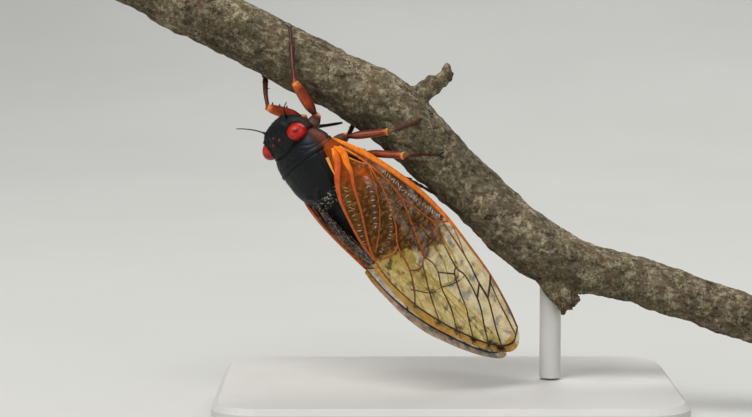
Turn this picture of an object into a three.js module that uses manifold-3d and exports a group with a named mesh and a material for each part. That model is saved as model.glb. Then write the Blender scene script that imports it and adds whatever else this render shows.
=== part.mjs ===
// A periodical cicada clinging to a short length of branch, on a plain display stand.
// Millimetres, +Z up. The origin is the centre of the underside of the stand's base.

import * as THREE from 'three';
import { mergeVertices } from 'three/addons/utils/BufferGeometryUtils.js';
import Module from 'manifold-3d';

const wasm = await Module();
wasm.setup();

// Clearance kept between touching pieces
const GAP = 0.3;

// Stand
const BASE_WIDTH = 64;
const BASE_DEPTH = 42;
const BASE_THICK = 5;
const BASE_CORNER = 6;
const BASE_BEVEL = 0.8;
const ROD_RADIUS = 1.5;
const ROD_SIDES = 24;
const ROD_AT = { right: 24.5, away: 8.2 };

// The viewer looks down a little. Seen places are right, up and away from the view's centre.
const LOOK_DOWN = THREE.MathUtils.degToRad(6);
const VIEW_CENTRE = new THREE.Vector3(-10, -6.5, 30);

// Animal's pose as seen: its middle, and where its head end and its back point
const BODY_MIDDLE = [-8.98, 5.7, 0];
const HEADWARD = [-0.6416, 0.767, 0.0059];
const BACKWARD_UP = [-0.5094, -0.4204, -0.7508];

// Eyes, placed from the middle of the thorax: forward, sideways, up. The head is turned a little,
// so the left one is further forward. Each is an oval, longest outwards, and swept back.
const EYES_AT = { left: [5.15, -2.85, 0.7], right: [4.7, 2.85, 0.75] };
const EYE_RADII = [1.2, 1.45, 1.4];
const EYE_SWEEP = THREE.MathUtils.degToRad(28);

// Trunk outline, tail to head: forward, half width, top, widest level, bottom
const THORAX_ROWS = [
  [-6.6, 2.6, 1.7, -1.2, -4.3],
  [-5.4, 3.1, 2.5, -1.0, -4.6],
  [-3.8, 3.9, 3.1, -0.8, -4.9],
  [-2.0, 4.3, 3.4, -0.6, -4.9],
  [-0.2, 4.4, 3.1, -0.4, -4.8],
  [1.4, 4.5, 2.7, -0.3, -4.6],
  [2.6, 4.3, 2.3, -0.2, -4.3],
  [3.8, 3.7, 1.8, -0.2, -3.9],
];
const ABDOMEN_ROWS = [
  [-5.4, 2.9, 1.7, -1.6, -4.3],
  [-7.6, 3.2, 1.5, -1.8, -4.8],
  [-10.2, 3.1, 1.2, -2.0, -5.0],
  [-12.8, 2.8, 0.7, -2.3, -4.9],
  [-15.4, 2.1, -0.3, -2.7, -4.7],
  [-17.6, 1.3, -1.5, -3.1, -4.4],
  [-19.2, 0.5, -2.9, -3.6, -4.1],
];
const ABDOMEN_SEGMENTS = 8;
const SEGMENT_STEP = 0.12;
const HEAD_ROWS = [
  [2.9, 3.1, 1.6, -0.5, -3.4],
  [3.9, 3.4, 2.05, -0.45, -3.6],
  [5.0, 3.4, 2.2, -0.4, -3.5],
  [6.0, 3.1, 2.05, -0.3, -3.0],
  [6.9, 2.55, 1.5, -0.3, -2.4],
  [7.5, 1.9, 0.85, -0.35, -1.7],
  [7.85, 0.8, 0.2, -0.4, -1.0],
];
const TRUNK_SIDES = 26;
const BODY_SQUARENESS = 2.3;
const HEAD_SQUARENESS = 2.8;

// Cuts between the named parts of the trunk, and how low each back plate reaches
const NECK_AT = 3.4;
const PRONOTUM_REAR = 1.0;
const PRONOTUM_LOW = -1.9;
const WAIST_AT = -5.8;
const MESONOTUM_LOW = -0.7;
const FAR = 60;

// Face: the swollen, ribbed front of the head, and the three small eyes between the large ones
const FACE_AT = [5.8, 0, -1.6];
const FACE_RADII = [2.2, 1.65, 1.9];
const FACE_RIBS = 5;
const FACE_SIDES = 14;
const FACE_RIB_RISE = 0.09;
const SMALL_EYES = [[6.0, 0, 1.95], [5.3, 0.75, 2.05], [5.3, -0.75, 2.05]];
const SMALL_EYE_RADIUS = 0.3;

// Cross-shaped rise at the rear of the back shield
const CROSS_AT = [-4.3, 0, 2.95];
const CROSS_ARMS = [[1.3, 1.35, 0.0], [-1.35, 1.5, -0.75]];
const CROSS_THICK = 0.5;
const CROSS_BEND = { forward: 0.5, side: 0.4, up: 0.33 };

// Feelers and beak
const FEELER_PATHS = {
  left: [[6.0, -2.1, -0.5], [7.3, -2.45, -0.15], [8.6, -3.1, 0.3], [9.9, -4.3, 0.7], [10.6, -5.3, 0.8]],
  right: [[6.0, 2.1, -0.5], [7.2, 2.5, -0.1], [8.0, 3.5, 0.6], [8.3, 4.8, 1.35], [8.4, 6.0, 2.05]],
};
const FEELER_RADII = [0.42, 0.4, 0.27, 0.25, 0.1];
const BEAK_PATH = [[4.9, 0, -2.8], [4.1, 0, -5.6], [3.1, 0, -8.3], [2.15, 0, -11.0]];
const BEAK_RADII = [0.75, 0.5, 0.34, 0.25];

// Legs. The hip is on the body (forward, sideways, up). Knee, ankle and claw are seen places
// (right, up, away), where they stand on the branch.
const LEGS = {
  fore_right: {
    root: [3.9, 1.7, -2.6], hip: [4.7, 2.4, -4.9],
    knee: [-11.1, 17.2, 1.0], ankle: [-11.6, 22.3, 3.3], claw: [-11.9, 24.9, 4.8],
    thigh: 0.85, shin: 0.36, spines: 3,
  },
  fore_left: {
    root: [3.3, -2.2, -3.0], hip: [5.9, -1.2, -6.8],
    knee: [-15.0, 13.95, 5.2], ankle: [-15.5, 18.0, 8.8], claw: [-16.2, 19.45, 11.2],
    thigh: 0.85, shin: 0.36, spines: 3,
  },
  mid_right: {
    root: [0.2, 2.5, -3.0], hip: [0.2, 3.3, -5.6],
    knee: [1.65, 10.5, 0.9], ankle: [5.65, 11.9, 3.5], claw: [7.3, 13.2, 5.4],
    thigh: 0.68, shin: 0.32, spines: 0,
  },
  mid_left: {
    root: [0.2, -2.5, -3.0], hip: [0.2, -3.3, -5.6],
    knee: [-5.2, 7.8, 11.2], ankle: [-3.2, 11.9, 12.3], claw: [-1.6, 14.3, 13.1],
    thigh: 0.68, shin: 0.32, spines: 0,
  },
  hind_right: {
    root: [-3.0, 2.8, -3.2], hip: [-3.0, 3.7, -5.9],
    knee: [3.8, 7.15, -1.2], ankle: [6.1, 7.5, 3.3], claw: [8.8, 7.4, 3.7],
    thigh: 0.64, shin: 0.32, spines: 0,
  },
  hind_left: {
    root: [-3.0, -2.8, -3.2], hip: [-3.0, -3.7, -5.9],
    knee: [-0.6, 5.4, 10.0], ankle: [4.9, 3.9, 8.2], claw: [8.0, 2.2, 7.2],
    thigh: 0.64, shin: 0.32, spines: 0,
  },
};
const COXA_RADIUS = 0.95;
const COXA_TAPER = 0.75;
const TROCHANTER_RADIUS = 0.5;
const THIGH_PROFILE = [0.75, 1, 0.85];
const THIGH_OVERLAP = 0.04;
const KNEE_RADIUS = 0.5;
const FOOT_RADIUS = 0.26;
const THIGH_SPINES = { from: 0.45, step: 0.2, length: 0.75, shorten: 0.12, radii: [0.3, 0.08] };
const CLAW = { back: 0.15, along: 0.45, spread: 0.35, reach: 0.3, hook: 0.45, radii: [0.18, 0.15, 0.1] };
const LEG_SIDES = 8;
const LEG_STEPS = 6;

// Branch: centre line (right, up) at one distance away, with its radius at each point
const BRANCH_AWAY = 8.25;
const BRANCH_LINE = [
  [-36.0, 33.6, 4.1], [-24.6, 27.6, 4.1], [-17.6, 24.1, 4.1], [-10.6, 20.4, 4.2], [-4.3, 17.3, 4.2],
  [2.2, 13.4, 4.6], [8.9, 6.8, 4.2], [15.0, 1.05, 4.0], [19.7, -3.4, 4.2], [25.0, -7.0, 4.2],
  [30.2, -8.6, 3.4], [36.4, -10.0, 3.3], [42.9, -12.2, 3.3], [54.6, -16.3, 3.3],
];
const BRANCH_SIDES = 16;
const BRANCH_STEPS = 38;
const BARK_RISE = 0.14;
const TWIG = { from: [2.5, 13.5, 8.0], to: [10.6, 18.9, 6.6], thick: 1.9, thin: 1.05 };
const KNOB = { from: [23.6, -8.4, 7.6], to: [27.2, -13.6, 6.8], thick: 2.4, thin: 1.5 };

// Wing surface, on the animal's right: its root, the way to its tip and to its hind edge
const WING_ROOT = [0, 4.86, -0.24];
const WING_ALONG = [-0.975, 0.096, -0.2];
const WING_ACROSS = [-0.153, 0.364, 0.919];
const MEMBRANE_HALF = 0.25;
const HINDWING_INSET = 1.25;
const WING_BULGE = 1.4;
const BULGE_AT = 9;
const BULGE_LENGTH = 8;
const BULGE_WIDTH = 7;
const VEIN_STEP = 2.4;
// How far a vein's foot may take up the room in its cell or along its side, and the bend, as a
// sine, under which two sides count as straight
const ROOM_SHARE = 0.36;
const SIDE_SHARE = 0.6;
const STRAIGHT = 0.15;
// Closest that the middle of a wing comes to the plane between the two sides
const FORE_MIDLINE = 0.8;
const HIND_MIDLINE = 0.45;

// Forewing veins: places on the wing in mm, from the root to the tip and to the hind edge
const FORE_JOINTS = {
  hinge: [-0.9, -1.0], root: [-0.9, 0.1], anal: [-0.6, 1.1], arculus: [5.1, -1.9], fork: [11.8, -2.0],
  nodus: [19.2, -5.55], rsFork: [17.2, -3.5], r2Start: [18.5, -4.6], wTop: [28.2, -2.3],
  wMid: [30.5, -1.7], wDistal: [29.3, -3.7], stigma: [28.7, -4.45], apex: [36.5, -1.9],
  r1End: [37.0, -0.9], r2End: [36.3, 2.2], rsEndA: [34.5, 3.7], rsEndB: [32.2, 5.0],
  mEnd: [29.7, 6.1], m34End: [26.9, 7.15], cuEnd: [22.8, 8.05], claval: [14.6, 7.2],
  rsSplit: [24.1, -1.4], rmTop: [24.6, -0.5], w1End: [29.3, -0.5], rmBottom: [22.6, 1.2],
  mFork: [19.8, 1.2], mcuTop: [20.2, 2.1], cuFork: [19.3, 4.2], cuSplit: [15.7, 3.1],
};
const FORE_VEINS = [
  { path: ['hinge', 'root', 'anal'], half: 0.3, rise: 0.3 },
  { path: ['hinge', [3.5, -2.65], [8.5, -3.95], [13.6, -5.1], 'nodus'], half: 0.62, rise: 0.28 },
  { path: ['nodus', [23.9, -5.15], 'stigma', [33.5, -3.1], 'apex'], half: 0.38, rise: 0.2 },
  { path: ['apex', 'r1End', [37.3, 0.3], 'r2End', 'rsEndA', 'rsEndB', 'mEnd', 'm34End', 'cuEnd',
    [18.5, 8.1], 'claval'], half: 0.2, rise: 0.16 },
  { path: ['apex', [37.9, -0.6], [38.15, 0.9], [37.3, 2.5], [34.6, 4.9], [31.0, 7.0], [26.5, 8.95],
    [22.5, 9.45], [18.3, 9.05], [15.1, 8.2], 'claval'], half: 0.2, rise: -0.08 },
  { path: ['anal', [3.3, 2.85], [6.4, 5.2], [10.7, 6.6], 'claval'], half: 0.25, rise: 0.12 },
  { path: ['root', [2.6, 0.6], [5.8, 2.2], [8.9, 4.0], [11.8, 5.8], 'claval'], half: 0.2, rise: 0.16 },
  { path: ['root', [1.8, -1.25], 'arculus'], half: 0.24, rise: 0.22 },
  { path: ['root', [3.1, -0.7], 'arculus'], half: 0.24, rise: 0.22 },
  { path: ['arculus', [8.0, -2.15], 'fork'], half: 0.24, rise: 0.22 },
  { path: ['fork', [14.5, -2.8], 'rsFork', 'r2Start', 'nodus'], half: 0.22, rise: 0.2 },
  { path: ['r2Start', [22.5, -3.95], [25.3, -3.3], 'wTop', 'wMid', [33.2, 0.0], 'r2End'],
    half: 0.2, rise: 0.18 },
  { path: ['wMid', 'wDistal', 'stigma'], half: 0.2, rise: 0.18 },
  { path: ['wDistal', [31.8, -2.65], [34.6, -1.75], 'r1End'], half: 0.18, rise: 0.16 },
  { path: ['rsFork', [20.2, -2.55], 'rsSplit', [26.0, -1.5], 'w1End', [31.7, 1.0], 'rsEndA'],
    half: 0.2, rise: 0.18 },
  { path: ['wTop', 'w1End'], half: 0.2, rise: 0.18 },
  { path: ['rsSplit', 'rmTop', [26.6, 0.7], [29.3, 2.1], 'rsEndB'], half: 0.2, rise: 0.18 },
  { path: ['rmTop', 'rmBottom'], half: 0.18, rise: 0.16 },
  { path: ['fork', [15.9, -0.3], 'mFork'], half: 0.22, rise: 0.2 },
  { path: ['mFork', 'rmBottom', [24.4, 2.4], [27.2, 3.7], 'mEnd'], half: 0.2, rise: 0.18 },
  { path: ['mFork', 'mcuTop', [22.6, 3.7], 'm34End'], half: 0.2, rise: 0.18 },
  { path: ['mcuTop', 'cuFork'], half: 0.18, rise: 0.16 },
  { path: ['arculus', [8.0, -1.0], [10.7, 0.1], [13.5, 1.4], 'cuSplit', 'cuFork', [21.4, 5.9], 'cuEnd'],
    half: 0.2, rise: 0.18 },
  { path: ['cuSplit', [15.9, 4.7], 'claval'], half: 0.2, rise: 0.16 },
];

// Hindwing veins, in the same wing places
const HIND_JOINTS = {
  hinge: [1.2, -0.8], root: [1.2, 0.1], anal: [1.4, 1.0], fork: [11.0, -1.4], cuFork: [9.6, 1.0],
  apex: [25.4, -1.2], rEnd: [25.1, 0.6], mEnd: [23.9, 2.3], cuEnd: [21.2, 3.6], aEnd: [15.6, 4.0],
  split: [16.4, -0.4],
};
const HIND_VEINS = [
  { path: ['hinge', 'root', 'anal'], half: 0.25, rise: 0.1 },
  { path: ['hinge', [6.5, -2.7], [13.0, -3.7], [19.5, -3.5], [23.6, -2.6], 'apex'], half: 0.3, rise: 0.12 },
  { path: ['apex', 'rEnd', 'mEnd', 'cuEnd', [18.6, 4.0], 'aEnd', [11.0, 4.3], [5.5, 3.2], 'anal'],
    half: 0.2, rise: 0 },
  { path: ['root', [6.0, -1.1], 'fork', [18.0, -1.9], [22.6, -1.0], 'rEnd'], half: 0.2, rise: 0.12 },
  { path: ['fork', 'split', [20.6, 1.0], 'mEnd'], half: 0.2, rise: 0.12 },
  { path: ['root', [5.0, 0.3], 'cuFork', [15.0, 1.9], 'cuEnd'], half: 0.2, rise: 0.12 },
  { path: ['cuFork', [12.6, 3.4], 'aEnd'], half: 0.2, rise: 0.12 },
];

const MATERIALS = {
  shell: { color: 0x14171a, roughness: 0.35, metalness: 0.0 },
  eye: { color: 0xb01810, roughness: 0.2, metalness: 0.0 },
  leg: { color: 0xa8431a, roughness: 0.4, metalness: 0.0 },
  wing: { color: 0xc98a3a, roughness: 0.3, metalness: 0.0 },
  bark: { color: 0x6b6455, roughness: 0.95, metalness: 0.0 },
  stand: { color: 0xe9e7e2, roughness: 0.5, metalness: 0.0 },
};

// Seen place to the part's own frame
function seen(place) {
  return seenDirection(place).add(VIEW_CENTRE);
}

function seenDirection([right, up, away]) {
  const sin = Math.sin(LOOK_DOWN);
  const cos = Math.cos(LOOK_DOWN);
  return new THREE.Vector3(right, up * sin + away * cos, up * cos - away * sin);
}

const bodyFrame = (() => {
  const forward = seenDirection(HEADWARD).normalize();
  const up = seenDirection(BACKWARD_UP);
  up.addScaledVector(forward, -up.dot(forward)).normalize();
  const left = new THREE.Vector3().crossVectors(up, forward);
  const frame = new THREE.Matrix4().makeBasis(forward, left, up);
  return frame.setPosition(seen(BODY_MIDDLE));
})();

// Body place (forward, to the animal's right, up) to the part's own frame
function onBody([forward, right, up]) {
  return new THREE.Vector3(forward, -right, up).applyMatrix4(bodyFrame);
}

// Closed geometry with its faces turned outwards
function closedGeometry(points, triangles) {
  const doubled = triangles.reduce((sum, [a, b, c]) => {
    return sum + points[a].dot(new THREE.Vector3().crossVectors(points[b], points[c]));
  }, 0);
  const index = triangles.flatMap(([a, b, c]) => (doubled > 0 ? [a, b, c] : [a, c, b]));
  const geometry = new THREE.BufferGeometry();
  geometry.setAttribute('position', new THREE.Float32BufferAttribute(points.flatMap((p) => p.toArray()), 3));
  geometry.setIndex(index);
  return geometry;
}

function toSolid(geometry) {
  const bare = geometry.clone();
  bare.deleteAttribute('normal');
  bare.deleteAttribute('uv');
  const merged = mergeVertices(bare, 1e-5);
  return new wasm.Manifold(new wasm.Mesh({
    numProp: 3,
    vertProperties: new Float32Array(merged.attributes.position.array),
    triVerts: new Uint32Array(merged.index.array),
  }));
}

// The largest closed surface of a solid, as geometry
function toGeometry(solid) {
  const pieces = solid.decompose().sort((a, b) => b.volume() - a.volume());
  const mesh = pieces[0].getMesh();
  const geometry = new THREE.BufferGeometry();
  geometry.setAttribute('position', new THREE.Float32BufferAttribute(mesh.vertProperties, 3));
  geometry.setIndex([...mesh.triVerts]);
  return geometry;
}

// Skin over a row of rings with the same number of points, closed at both ends
function skinned(rings) {
  const sides = rings[0].length;
  const points = rings.flat();
  const triangles = [];
  for (let ring = 0; ring + 1 < rings.length; ring += 1) {
    for (let side = 0; side < sides; side += 1) {
      const a = ring * sides + side;
      const b = ring * sides + ((side + 1) % sides);
      triangles.push([a, b, b + sides], [a, b + sides, a + sides]);
    }
  }
  [0, rings.length - 1].forEach((ring) => {
    const middle = points.length;
    points.push(centre(rings[ring]));
    for (let side = 0; side < sides; side += 1) {
      const pair = [ring * sides + side, ring * sides + ((side + 1) % sides)];
      triangles.push(ring === 0 ? [pair[1], pair[0], middle] : [pair[0], pair[1], middle]);
    }
  });
  return toSolid(closedGeometry(points, triangles));
}

function centre(points) {
  return points.reduce((sum, p) => sum.add(p), new THREE.Vector3()).divideScalar(points.length);
}

// Values between rows of numbers, on a smooth curve through all of them
function between(rows, part) {
  const place = part * (rows.length - 1);
  const first = Math.min(Math.floor(place), rows.length - 2);
  const t = place - first;
  const row = (k) => rows[THREE.MathUtils.clamp(k, 0, rows.length - 1)];
  return rows[first].map((value, column) => {
    const [a, b, c, d] = [-1, 0, 1, 2].map((k) => row(first + k)[column]);
    return b + 0.5 * t * (c - a + t * (2 * a - 5 * b + 4 * c - d + t * (3 * (b - c) + d - a)));
  });
}

// One ring of the trunk: wide at its waist level, with its own top and bottom
function trunkRing([forward, half, top, waist, bottom], extra, squareness = BODY_SQUARENESS) {
  return Array.from({ length: TRUNK_SIDES }, (_, side) => {
    const turn = (2 * Math.PI * side) / TRUNK_SIDES;
    const soften = (value) => Math.sign(value) * Math.abs(value) ** (2 / squareness);
    const height = Math.sin(turn) > 0 ? top - waist : waist - bottom;
    const right = soften(Math.cos(turn)) * (half + extra);
    return onBody([forward, right, waist + soften(Math.sin(turn)) * (height + extra)]);
  });
}

function trunkShell(rows, steps, extra, squareness = BODY_SQUARENESS) {
  const rings = [];
  for (let step = 0; step <= steps; step += 1) {
    rings.push(trunkRing(between(rows, step / steps), extra, squareness));
  }
  return skinned(rings);
}

// Abdomen in overlapping rings, each standing a little proud of the next
function abdomenShell(extra) {
  const rings = [];
  for (let segment = 0; segment < ABDOMEN_SEGMENTS; segment += 1) {
    [[0, -SEGMENT_STEP], [0.12, 0], [0.9, SEGMENT_STEP * 0.3]].forEach(([part, rise]) => {
      rings.push(trunkRing(between(ABDOMEN_ROWS, (segment + part) / ABDOMEN_SEGMENTS), extra + rise));
    });
  }
  rings.push(trunkRing(between(ABDOMEN_ROWS, 1), extra));
  return skinned(rings);
}

// Oval ball at a body place, turned about the body's upright
function ball(at, radii, extra, turn, widthSegments, heightSegments) {
  const sphere = new THREE.SphereGeometry(1, widthSegments, heightSegments);
  sphere.scale(...radii.map((radius) => radius + extra)).rotateZ(turn).translate(at[0], -at[1], at[2]);
  return toSolid(sphere.applyMatrix4(bodyFrame));
}

// Tapering round limb through points, one radius to each point
function limb(points, radii, sides, steps, extra = 0) {
  const curve = new THREE.CatmullRomCurve3(points, false, 'centripetal');
  const frames = frameAlong(curve, steps);
  const rings = frames.map(({ at, across, over }, step) => {
    const [radius] = between(radii.map((value) => [value]), step / steps);
    return Array.from({ length: sides }, (_, side) => {
      const turn = (2 * Math.PI * side) / sides;
      return at.clone()
        .addScaledVector(across, Math.cos(turn) * (radius + extra))
        .addScaledVector(over, Math.sin(turn) * (radius + extra));
    });
  });
  return skinned(rings);
}

// Places along a curve with two directions square to it that don't twist
function frameAlong(curve, steps) {
  let across = null;
  return Array.from({ length: steps + 1 }, (_, step) => {
    const at = curve.getPoint(step / steps);
    const along = curve.getTangent(step / steps);
    const seed = across ?? leastAligned(along);
    across = seed.clone().addScaledVector(along, -seed.dot(along)).normalize();
    return { at, across, over: new THREE.Vector3().crossVectors(along, across) };
  });
}

function leastAligned(direction) {
  const vertical = new THREE.Vector3(0, 0, 1);
  return Math.abs(direction.z) < 0.8 ? vertical : new THREE.Vector3(1, 0, 0);
}

// Box in the body's frame that keeps one stretch of the trunk
function bodyBox(rear, front, low, high) {
  const box = new THREE.BoxGeometry(front - rear, FAR, high - low);
  box.translate((front + rear) / 2, 0, (high + low) / 2);
  return toSolid(box.applyMatrix4(bodyFrame));
}

function trunk(extra) {
  return trunkShell(THORAX_ROWS, 18, extra).add(abdomenShell(extra)).add(crossRise(extra));
}

function crossRise(extra) {
  return CROSS_ARMS.flatMap(([forward, side, up]) => [side, -side].map((right) => {
    const end = [CROSS_AT[0] + forward, right, CROSS_AT[2] + up];
    const middle = [
      CROSS_AT[0] + forward * CROSS_BEND.forward, right * CROSS_BEND.side, CROSS_AT[2] + up * CROSS_BEND.up,
    ];
    const path = [CROSS_AT, middle, end].map(onBody);
    return limb(path, [CROSS_THICK, CROSS_THICK, CROSS_THICK * 0.8], 8, 4, extra);
  })).reduce((whole, arm) => whole.add(arm));
}

function headShell(extra) {
  return trunkShell(HEAD_ROWS, 12, extra, HEAD_SQUARENESS).add(face(extra));
}

// Swollen front of the face with its cross ribs
function face(extra) {
  const rings = [];
  const steps = FACE_RIBS * 3;
  for (let step = 1; step < steps; step += 1) {
    const turn = (Math.PI * step) / steps;
    const rib = FACE_RIB_RISE * Math.cos((2 * Math.PI * FACE_RIBS * step) / steps);
    rings.push(Array.from({ length: FACE_SIDES }, (_, side) => {
      const around = (2 * Math.PI * side) / FACE_SIDES;
      const wide = Math.sin(turn);
      return onBody([
        FACE_AT[0] + Math.cos(around) * wide * (FACE_RADII[0] + extra + rib),
        FACE_AT[1] + Math.sin(around) * wide * (FACE_RADII[1] + extra + rib),
        FACE_AT[2] + Math.cos(turn) * (FACE_RADII[2] + extra),
      ]);
    }));
  }
  return skinned(rings);
}

function eye(name, extra) {
  const at = EYES_AT[name];
  return ball(at, EYE_RADII, extra, -Math.sign(at[1]) * EYE_SWEEP, 16, 11);
}

function bothEyes(extra) {
  return eye('left', extra).add(eye('right', extra));
}

function head() {
  const kept = headShell(0).intersect(bodyBox(NECK_AT + GAP / 2, FAR, -FAR, FAR));
  const bare = kept.subtract(bothEyes(GAP));
  const radii = [SMALL_EYE_RADIUS, SMALL_EYE_RADIUS, SMALL_EYE_RADIUS];
  return SMALL_EYES.reduce((whole, at) => whole.add(ball(at, radii, 0, 0, 8, 6)), bare);
}

function feeler(name) {
  const path = FEELER_PATHS[name].map(onBody);
  return limb(path, FEELER_RADII, 8, 12).subtract(headShell(GAP)).subtract(eye(name, GAP));
}

function beak() {
  return limb(BEAK_PATH.map(onBody), BEAK_RADII, 10, 8).subtract(headShell(GAP)).subtract(trunk(GAP));
}

function upperLeg(leg, extra) {
  const path = [onBody(leg.root), onBody(leg.hip), seen(leg.knee)];
  const hipEnd = path[1].clone();
  const coxa = limb([path[0], hipEnd], [COXA_RADIUS, COXA_RADIUS * COXA_TAPER], LEG_SIDES, 3, extra);
  const thighStart = hipEnd.clone().lerp(path[2], -THIGH_OVERLAP);
  const radii = [TROCHANTER_RADIUS, ...THIGH_PROFILE.map((share) => leg.thigh * share), KNEE_RADIUS];
  const thigh = limb([thighStart, path[2]], radii, LEG_SIDES, LEG_STEPS, extra);
  return coxa.add(thigh).add(thighSpines(leg, path[1], path[2]));
}

// Spines under the thick fore thighs
function thighSpines(leg, hip, knee) {
  const down = seen(leg.ankle).sub(knee).normalize();
  const spines = Array.from({ length: leg.spines }, (_, number) => {
    const from = hip.clone().lerp(knee, THIGH_SPINES.from + THIGH_SPINES.step * number);
    const length = leg.thigh + THIGH_SPINES.length - THIGH_SPINES.shorten * number;
    return limb([from, from.clone().addScaledVector(down, length)], THIGH_SPINES.radii, 6, 1);
  });
  return spines.reduce((whole, spine) => whole.add(spine), limb([hip, knee], [0.2, 0.2], 6, 1));
}

function lowerLeg(leg) {
  const [knee, ankle, claw] = [leg.knee, leg.ankle, leg.claw].map(seen);
  const shin = limb([knee, ankle], [leg.shin * 0.8, leg.shin, leg.shin * 1.1], LEG_SIDES, 4);
  const foot = limb([ankle.clone().lerp(knee, 0.05), ankle.clone().lerp(claw, 0.5), claw],
    [leg.shin * 0.95, FOOT_RADIUS, FOOT_RADIUS * 0.9], LEG_SIDES, 4);
  return shin.add(foot).add(claws(leg, ankle, claw));
}

// A pair of hooked claws at the end of a foot
function claws(leg, ankle, claw) {
  const along = claw.clone().sub(ankle).normalize();
  const inward = nearestOnBranch(claw).sub(claw).normalize();
  const across = new THREE.Vector3().crossVectors(along, inward).normalize();
  return [-1, 1].map((side) => {
    const from = claw.clone().addScaledVector(along, -CLAW.back);
    const bend = claw.clone().addScaledVector(along, CLAW.along).addScaledVector(across, side * CLAW.spread);
    const tip = bend.clone().addScaledVector(along, CLAW.reach).addScaledVector(inward, CLAW.hook);
    return limb([from, bend, tip], CLAW.radii, 5, 2);
  }).reduce((pair, hook) => pair.add(hook));
}

function branchCurve() {
  return new THREE.CatmullRomCurve3(BRANCH_LINE.map(([right, up]) => seen([right, up, BRANCH_AWAY])));
}

function nearestOnBranch(point) {
  const samples = branchCurve().getPoints(200);
  return samples.reduce((best, at) => (at.distanceTo(point) < best.distanceTo(point) ? at : best)).clone();
}

// Uneven bark, as a few slow waves round and along the branch
function barkRise(turn, along) {
  return BARK_RISE * (Math.sin(3 * turn + 0.31 * along) + Math.sin(5 * turn - 0.83 * along + 1.3)
    + Math.sin(2 * turn + 1.57 * along + 0.4));
}

function perch(extra) {
  const radii = BRANCH_LINE.map((row) => [row[2]]);
  const frames = frameAlong(branchCurve(), BRANCH_STEPS);
  const rings = frames.map(({ at, across, over }, step) => {
    const [radius] = between(radii, step / BRANCH_STEPS);
    return Array.from({ length: BRANCH_SIDES }, (_, side) => {
      const turn = (2 * Math.PI * side) / BRANCH_SIDES;
      const reach = radius + extra + barkRise(turn, (step * 100) / BRANCH_STEPS);
      return at.clone().addScaledVector(across, Math.cos(turn) * reach)
        .addScaledVector(over, Math.sin(turn) * reach);
    });
  });
  return skinned(rings).add(stub(TWIG, extra)).add(stub(KNOB, extra));
}

function stub({ from, to, thick, thin }, extra) {
  return limb([seen(from), seen(to)], [thick, (thick + thin) / 2, thin], 12, 5, extra);
}

// Wing as a flat net of veins: points shared where veins meet, and which points they join
function veinNet(joints, veins) {
  const points = [];
  const byName = new Map();
  const links = [];
  const addPoint = (at, vein) => points.push({ at, rise: vein.rise, near: [] }) - 1;
  veins.forEach((vein) => {
    const controls = vein.path.map((entry) => (typeof entry === 'string' ? joints[entry] : entry));
    const bends = controls.map(([u, w]) => new THREE.Vector3(u, w, 0));
    const curve = new THREE.CatmullRomCurve3(bends, false, 'centripetal');
    const spans = controls.length - 1;
    let last = null;
    vein.path.forEach((entry, number) => {
      const index = jointIndex(entry, controls[number], vein, byName, addPoint);
      points[index].rise = Math.max(points[index].rise, vein.rise);
      if (last !== null) {
        const parts = Math.max(1, Math.round(unit(controls[number - 1], controls[number])[1] / VEIN_STEP));
        let from = last;
        for (let part = 1; part < parts; part += 1) {
          const at = curve.getPoint((number - 1 + part / parts) / spans);
          const next = addPoint([at.x, at.y], vein);
          links.push([from, next, vein.half]);
          from = next;
        }
        links.push([from, index, vein.half]);
      }
      last = index;
    });
  });
  links.forEach(([a, b, half]) => {
    points[a].near.push({ to: b, half });
    points[b].near.push({ to: a, half });
  });
  return points;
}

function jointIndex(entry, at, vein, byName, addPoint) {
  if (typeof entry !== 'string') {
    return addPoint(at, vein);
  }
  if (!byName.has(entry)) {
    byName.set(entry, addPoint(at, vein));
  }
  return byName.get(entry);
}

// Cells of the net: each closed walk that always takes the next vein round a point
function cellsOf(points) {
  points.forEach((point, from) => {
    const angle = ({ to }) => {
      const [direction] = unit(points[from].at, points[to].at);
      return Math.atan2(direction[1], direction[0]);
    };
    point.near.sort((a, b) => angle(a) - angle(b));
  });
  const walked = new Set();
  const cells = [];
  points.forEach((point, start) => point.near.forEach((firstLink) => {
    const cell = [];
    let from = start;
    let link = firstLink;
    while (!walked.has(`${from}>${link.to}`)) {
      walked.add(`${from}>${link.to}`);
      cell.push({ index: from, half: link.half });
      const around = points[link.to].near;
      const back = around.findIndex(({ to }) => to === from);
      const next = around[(back + around.length - 1) % around.length];
      from = link.to;
      link = next;
    }
    if (cell.length > 0) {
      cells.push(cell);
    }
  }));
  return cells;
}

function signedArea(outline) {
  return THREE.ShapeUtils.area(outline.map(([u, w]) => new THREE.Vector2(u, w)));
}

// Edge of the membrane inside one cell, set in from the veins round it
function innerEdge(cell, points) {
  const corner = (k) => points[cell[(k + cell.length) % cell.length].index].at;
  return cell.map(({ half }, k) => {
    const [before, at, after] = [corner(k - 1), corner(k), corner(k + 1)];
    const room = clearance(cell, points, k);
    const in1 = Math.min(cell[(k - 1 + cell.length) % cell.length].half, room * ROOM_SHARE);
    const in2 = Math.min(half, room * ROOM_SHARE);
    const [e1, l1] = unit(before, at);
    const [e2, l2] = unit(at, after);
    const cross = e1[0] * e2[1] - e1[1] * e2[0];
    const straight = Math.abs(cross) < STRAIGHT;
    const offset = straight
      ? [-(e1[1] + e2[1]) * (in1 + in2) / 4, (e1[0] + e2[0]) * (in1 + in2) / 4]
      : [(-in2 * e1[0] + in1 * e2[0]) / cross, (-in2 * e1[1] + in1 * e2[1]) / cross];
    const limit = Math.min(1, (SIDE_SHARE * Math.min(l1, l2)) / Math.hypot(...offset));
    return [at[0] + offset[0] * limit, at[1] + offset[1] * limit];
  });
}

function unit(from, to) {
  const length = Math.hypot(to[0] - from[0], to[1] - from[1]);
  return [[(to[0] - from[0]) / length, (to[1] - from[1]) / length], length];
}

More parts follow.
